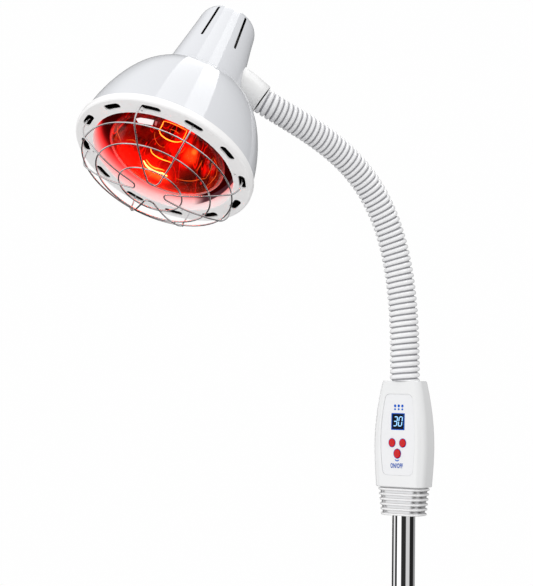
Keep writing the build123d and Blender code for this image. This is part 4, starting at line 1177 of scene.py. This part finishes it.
rings = [bore_ring(525.6), oval_ring(525.6, 2.0), oval_ring(525.6, 1.15)]
for k in range(6):
    zc = 525.0 + 1.75 + 5.35 * k
    lo_z = -1.15 if k == 0 else -1.2
    if k:
        rings += [oval_ring(zc - 1.75, 2.3), oval_ring(zc - 1.25, 2.3), oval_ring(zc - 1.2, 2.25), oval_ring(zc - 1.2, 1.2)]
    for g_ in np.linspace(-90, 90, 15):
        dz = 1.1 * math.sin(math.radians(g_)) + math.copysign(0.1, g_) * (abs(g_) > 1e-6)
        dz = max(dz, lo_z)
        rings.append(oval_ring(zc + dz, 1.1 - 1.1 * math.cos(math.radians(g_)) * 0.999))
    if k < 5:
        rings += [oval_ring(zc + 1.2, 1.2), oval_ring(zc + 1.2, 2.25), oval_ring(zc + 1.25, 2.3), oval_ring(zc + 1.75, 2.3)]
    else:
        rings += [oval_ring(zc + 1.2, 1.2), oval_ring(zc + 1.2, 2.25), oval_ring(zc + 1.25, 2.3)]
rings += [oval_ring(556.0, 2.3), oval_ring(556.0, 3.4), bore_ring(556.0)]
V_ = [tuple(c_ * MM for c_ in p) for r_ in rings for p in r_]
F_ = []
for k in range(len(rings)):
    k2 = (k + 1) % len(rings)
    for i in range(192):
        i2 = (i + 1) % 192
        F_.append((k * 192 + i, k * 192 + i2, k2 * 192 + i2, k2 * 192 + i))
collar = mesh_obj("collar_skin", V_, F_, M["collar"])
bm = bmesh.new(); bm.from_mesh(collar.data)
bmesh.ops.recalc_face_normals(bm, faces=bm.faces)
bm.to_mesh(collar.data); bm.free()
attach(collar, "mast")
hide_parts("ribbed_collar")

# ------------------------------------------------------------------ camera, light and floor
cam_data = bpy.data.cameras.new("camera")
cam_data.sensor_fit = "AUTO"
cam_data.sensor_width = 36.0
cam_data.lens = 36.0 * 1400.0 / 586.0
cam_data.clip_start = 0.05
cam_data.clip_end = 60.0
cam = link(bpy.data.objects.new("camera", cam_data))
Fw = Vector((-0.49901, 0.86432, 0.06279)).normalized()
Rt = Fw.cross(Vector((0.01930, -0.06135, 0.99793))).normalized()
Up = Rt.cross(Fw)
cm = Matrix((Rt, Up, -Fw)).transposed().to_4x4()
cm.translation = Vector((0.63647, -1.40834, 0.66879))
cam.matrix_world = cm
scene.camera = cam

floor_mat = finish_mat("floor_pale", (0.96, 0.96, 0.96), 0.6, var=0.004, scale=3, bump=0)
N = 96
vf = [(0, 0, -0.0002)] + [(3.0 * math.cos(2 * math.pi * i / N), 3.0 * math.sin(2 * math.pi * i / N), -0.0002) for i in range(N)]
floor = mesh_obj("floor", vf, [(0, 1 + i, 1 + (i + 1) % N) for i in range(N)], floor_mat, smooth=False)
floor.visible_glossy = False
floor.visible_diffuse = False


def direction(az, el):
    a, e = math.radians(az), math.radians(el)
    return Vector((math.cos(e) * math.cos(a), math.cos(e) * math.sin(a), math.sin(e)))


def softbox(name, corners, strength, centre=Vector((0, 0, 0.8)), dist=3.0, color=(1, 1, 1), diffuse=True):
    """A glowing card seen from the object between the given (azimuth, elevation) corners."""
    vs = [centre + direction(a, e) * dist for a, e in corners]
    me = bpy.data.meshes.new(name)
    me.from_pydata([tuple(v) for v in vs], [], [tuple(range(len(vs)))])
    me.update()
    m = bpy.data.materials.new(name)
    m.use_nodes = True
    nt = m.node_tree
    nt.nodes.clear()
    em = nt.nodes.new("ShaderNodeEmission")
    em.inputs["Color"].default_value = tuple(color) + (1.0,)
    em.inputs["Strength"].default_value = strength
    out = nt.nodes.new("ShaderNodeOutputMaterial")
    nt.links.new(em.outputs[0], out.inputs["Surface"])
    me.materials.append(m)
    o = link(bpy.data.objects.new(name, me))
    o.visible_camera = False
    o.visible_shadow = False
    o.visible_diffuse = diffuse
    return o


world = bpy.data.worlds.new("studio")
scene.world = world
world.use_nodes = True
nt = world.node_tree
nt.nodes.clear()
out = nt.nodes.new("ShaderNodeOutputWorld")
lp = nt.nodes.new("ShaderNodeLightPath")
tc = nt.nodes.new("ShaderNodeTexCoord")
sep = nt.nodes.new("ShaderNodeSeparateXYZ")
nt.links.new(tc.outputs["Generated"], sep.inputs["Vector"])
at2 = nt.nodes.new("ShaderNodeMath"); at2.operation = "ARCTAN2"
nt.links.new(sep.outputs["Y"], at2.inputs[0])
nt.links.new(sep.outputs["X"], at2.inputs[1])
mr = nt.nodes.new("ShaderNodeMapRange")
mr.inputs["From Min"].default_value = -math.pi
mr.inputs["From Max"].default_value = math.pi
nt.links.new(at2.outputs[0], mr.inputs["Value"])
# round the horizon stand soft white panels with dark gaps between them: (from azimuth, to azimuth, level)
PANELS = [(52, 112, 0.33), (116, 175, 0.04), (180, 199, 0.95), (204, 225, 0.03), (229, 267, 1.3), (274, 316, 0.03), (320, 355, 0.72), (359, 407, 0.02)]
stops = []
for a, b, v in PANELS:
    for q in (a, b):
        stops.append(((((q + 180) % 360)) / 360.0, v))
stops.sort()
f0, f1 = stops[-1], stops[0]
w = (1 - f0[0]) / (1 - f0[0] + f1[0])
edge = f0[1] + (f1[1] - f0[1]) * w
stops = [(0.0, edge)] + stops + [(1.0, edge)]
rp = nt.nodes.new("ShaderNodeValToRGB")
el = rp.color_ramp.elements
while len(el) > 1:
    el.remove(el[-1])
el[0].position, el[0].color = 0.0, (stops[0][1] / 1.3,) * 3 + (1,)
for p, v in stops[1:]:
    x = el.new(p)
    x.color = (v / 1.3,) * 3 + (1,)
nt.links.new(mr.outputs["Result"], rp.inputs["Fac"])
# higher up, softer panels, and an even bright ceiling above them; below the horizon the bands fade to grey
MIDS_AZ = [(0, 0.80), (40, 0.80), (60, 0.60), (75, 0.30), (100, 0.17), (150, 0.25), (165, 0.30), (185, 0.70), (200, 0.90), (300, 0.80)]


def azimuth_ramp(bands, top):
    st = sorted(((((a_ + 180) % 360)) / 360.0, v_) for a_, v_ in bands)
    f0, f1 = st[-1], st[0]
    w_ = (1 - f0[0]) / max(1e-6, 1 - f0[0] + f1[0])
    e_ = f0[1] + (f1[1] - f0[1]) * w_
    st = [(0.0, e_)] + [q for q in st if q[0] > 1e-4] + [(1.0, e_)]
    r_ = nt.nodes.new("ShaderNodeValToRGB")
    el_ = r_.color_ramp.elements
    while len(el_) > 1:
        el_.remove(el_[-1])
    el_[0].position, el_[0].color = 0.0, (st[0][1] / top,) * 3 + (1,)
    for p_, v_ in st[1:]:
        x_ = el_.new(p_)
        x_.color = (v_ / top,) * 3 + (1,)
    nt.links.new(mr.outputs["Result"], r_.inputs["Fac"])
    return r_


def z_step(z0, z1):
    s_ = nt.nodes.new("ShaderNodeMapRange"); s_.interpolation_type = "SMOOTHSTEP"
    s_.inputs["From Min"].default_value = z0
    s_.inputs["From Max"].default_value = z1
    nt.links.new(sep.outputs["Z"], s_.inputs["Value"])
    return s_.outputs["Result"]


def mixc(fac, a_, b_):
    n_ = nt.nodes.new("ShaderNodeMix"); n_.data_type = "RGBA"
    nt.links.new(fac, n_.inputs["Factor"])
    for key, q in (("A", a_), ("B", b_)):
        if isinstance(q, tuple):
            n_.inputs[key].default_value = q
        else:
            nt.links.new(q, n_.inputs[key])
    return n_.outputs["Result"]


mid_r = azimuth_ramp(MIDS_AZ, 1.0)
sc = nt.nodes.new("ShaderNodeVectorMath"); sc.operation = "SCALE"
sc.inputs["Scale"].default_value = 1.3
nt.links.new(rp.outputs["Color"], sc.inputs[0])
c1 = mixc(z_step(0.03, 0.16), sc.outputs["Vector"], mid_r.outputs["Color"])
c2 = mixc(z_step(0.60, 0.85), c1, (0.80, 0.80, 0.81, 1))
c3 = mixc(z_step(-0.54, -0.45), (0.025, 0.024, 0.024, 1), c2)
bg_gloss = nt.nodes.new("ShaderNodeBackground")
nt.links.new(c3, bg_gloss.inputs["Color"])
# the soft light is stronger from the front, the left and above than from the back and below
bg_soft = nt.nodes.new("ShaderNodeBackground")
bg_soft.inputs["Color"].default_value = (1, 1, 1, 1)
dt = nt.nodes.new("ShaderNodeVectorMath"); dt.operation = "DOT_PRODUCT"
nt.links.new(tc.outputs["Generated"], dt.inputs[0])
dt.inputs[1].default_value = (-0.152, -0.762, 0.630)
lv = nt.nodes.new("ShaderNodeMath"); lv.operation = "MULTIPLY_ADD"
nt.links.new(dt.outputs["Value"], lv.inputs[0])
lv.inputs[1].default_value = 0.48
lv.inputs[2].default_value = 0.83
lx = nt.nodes.new("ShaderNodeMath"); lx.operation = "MAXIMUM"
nt.links.new(lv.outputs[0], lx.inputs[0])
lx.inputs[1].default_value = 0.05
nt.links.new(lx.outputs[0], bg_soft.inputs["Strength"])
bg_cam = nt.nodes.new("ShaderNodeBackground")
bg_cam.inputs["Color"].default_value = (0.995, 0.995, 0.995, 1)
m1 = nt.nodes.new("ShaderNodeMixShader")
mxr = nt.nodes.new("ShaderNodeMath"); mxr.operation = "MAXIMUM"
nt.links.new(lp.outputs["Is Glossy Ray"], mxr.inputs[0])
nt.links.new(lp.outputs["Is Transmission Ray"], mxr.inputs[1])
nt.links.new(mxr.outputs[0], m1.inputs["Fac"])
nt.links.new(bg_soft.outputs[0], m1.inputs[1])
nt.links.new(bg_gloss.outputs[0], m1.inputs[2])
m2 = nt.nodes.new("ShaderNodeMixShader")
nt.links.new(lp.outputs["Is Camera Ray"], m2.inputs["Fac"])
nt.links.new(m1.outputs[0], m2.inputs[1])
nt.links.new(bg_cam.outputs[0], m2.inputs[2])
nt.links.new(m2.outputs[0], out.inputs["Surface"])

# two long strip lights beside each other over the lamp's shoulder, the narrower one brighter
def band(name, edges, strength, color=(1, 1, 1), diffuse=True):
    V_ = [p for e_ in edges for p in e_]
    n_ = len(edges[0])
    F_ = [(k_ * n_ + i_, k_ * n_ + i_ + 1, (k_ + 1) * n_ + i_ + 1, (k_ + 1) * n_ + i_) for k_ in range(len(edges) - 1) for i_ in range(n_ - 1)]
    o_ = softbox(name, [(0, 0), (1, 0), (0, 1)], strength, color=color, diffuse=diffuse)
    m_ = o_.data.materials[0]
    o_.data.clear_geometry()
    o_.data.from_pydata(V_, [], F_)
    o_.data.update()
    if not o_.data.materials:
        o_.data.materials.append(m_)
    return o_


SHADE = [(1.7, 93.9), (6.0, 93.7), (14.0, 92.6), (29.0, 90.0), (49.0, 84.6), (69.0, 76.6), (82.0, 69.2), (93.0, 60.0), (99.9, 51.0), (103.2, 43.6)]
SP = spline_pts(SHADE, 120)
cam_mm = np.array([636.47, -1408.34, 668.79])


def mirrored(theta, far=2600.0):
    a_ = math.radians(theta)
    e_ = math.cos(a_) * HU + math.sin(a_) * HV
    out_ = []
    for i_ in range(0, len(SP), 4):
        j0, j1 = max(i_ - 1, 0), min(i_ + 1, len(SP) - 1)
        slope = (SP[j1, 1] - SP[j0, 1]) / (SP[j1, 0] - SP[j0, 0])
        p_ = CR + SP[i_, 0] * HB + SP[i_, 1] * e_
        n_ = e_ - slope * HB
        n_ /= np.linalg.norm(n_)
        v_ = p_ - cam_mm
        v_ /= np.linalg.norm(v_)
        out_.append(tuple((p_ + (v_ - 2 * (v_ @ n_) * n_) * far) * MM))
    return out_


band("strip_soft", [mirrored(t_) for t_ in (267, 271, 276, 280.5, 285)], 2.4, diffuse=False)
band("strip_bright", [mirrored(t_) for t_ in (285, 289, 293.5, 298)], 4.2, diffuse=False)
fr = np.array([p for p in po if p[1] <= 14.0 and p[0] < 62.4])


def on_glass(px, py, lift):
    """The point of the bulb's front that the camera sees at a place in the picture, lifted off the glass."""
    d_ = np.array(Fw) + np.array(Rt) * ((px - 266.5) / 1400.0) - np.array(Up) * ((py - 293.0) / 1400.0)
    d_ /= np.linalg.norm(d_)
    t_ = 1100.0
    for step in (2.0, 0.1, 0.005):
        while t_ < 2000.0:
            q_ = cam_mm + d_ * t_ - CR
            s_ = float(q_ @ HB)
            r_ = float(np.linalg.norm(q_ - s_ * HB))
            if r_ < fr[-1, 0] and s_ > float(np.interp(r_, fr[:, 0], fr[:, 1])):
                break
            t_ += step
        t_ -= step
    return tuple((CR + q_ - HB * lift) * MM)


def reflex(name, top, bottom, mat, nu=14, nv=6):
    V_, F_ = [], []
    top, bottom = np.array(top), np.array(bottom)
    for lift in (0.22, 0.08):
        for a_ in range(nu + 1):
            u_ = a_ / nu
            tp_ = [np.interp(u_, np.linspace(0, 1, len(top)), top[:, k_]) for k_ in (0, 1)]
            bt_ = [np.interp(u_, np.linspace(0, 1, len(bottom)), bottom[:, k_]) for k_ in (0, 1)]
            for b_ in range(nv + 1):
                v_ = b_ / nv
                V_.append(on_glass(tp_[0] + (bt_[0] - tp_[0]) * v_, tp_[1] + (bt_[1] - tp_[1]) * v_, lift))
    n_ = (nu + 1) * (nv + 1)
    for a_ in range(nu):
        for b_ in range(nv):
            p_ = a_ * (nv + 1) + b_
            F_ += [(p_, p_ + 1, p_ + nv + 2, p_ + nv + 1), (n_ + p_ + nv + 1, n_ + p_ + nv + 2, n_ + p_ + 1, n_ + p_)]
    rim = [a_ * (nv + 1) for a_ in range(nu + 1)] + [nu * (nv + 1) + b_ for b_ in range(1, nv + 1)]
    rim += [a_ * (nv + 1) + nv for a_ in range(nu - 1, -1, -1)] + [b_ for b_ in range(nv - 1, 0, -1)]
    for k_ in range(len(rim)):
        p_, q_ = rim[k_], rim[(k_ + 1) % len(rim)]
        F_.append((p_, q_, n_ + q_, n_ + p_))
    o_ = mesh_obj(name, V_, F_, mat)
    bm = bmesh.new(); bm.from_mesh(o_.data)
    bmesh.ops.recalc_face_normals(bm, faces=bm.faces)
    bm.to_mesh(o_.data); bm.free()
    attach(o_, "head")
    return o_


# the studio window's reflex on the face of the bulb, a thin bright skin on the glass
reflex("window_reflex", [(135.9, 118.6), (140.2, 117.6), (147.6, 118.7), (154.2, 120.1)], [(138.4, 122.6), (145.4, 124.0), (152.5, 125.1)],
       emit_mat("window_reflex", (1.0, 0.90, 0.90), 0.95, base=(0.02, 0.0, 0.0)))
reflex("window_reflex_side", [(155.4, 120.9), (157.6, 121.6)], [(154.6, 124.6), (156.4, 125.6)], emit_mat("window_reflex_side", (1.0, 0.20, 0.20), 0.55, base=(0.02, 0.0, 0.0)), nu=4, nv=6)
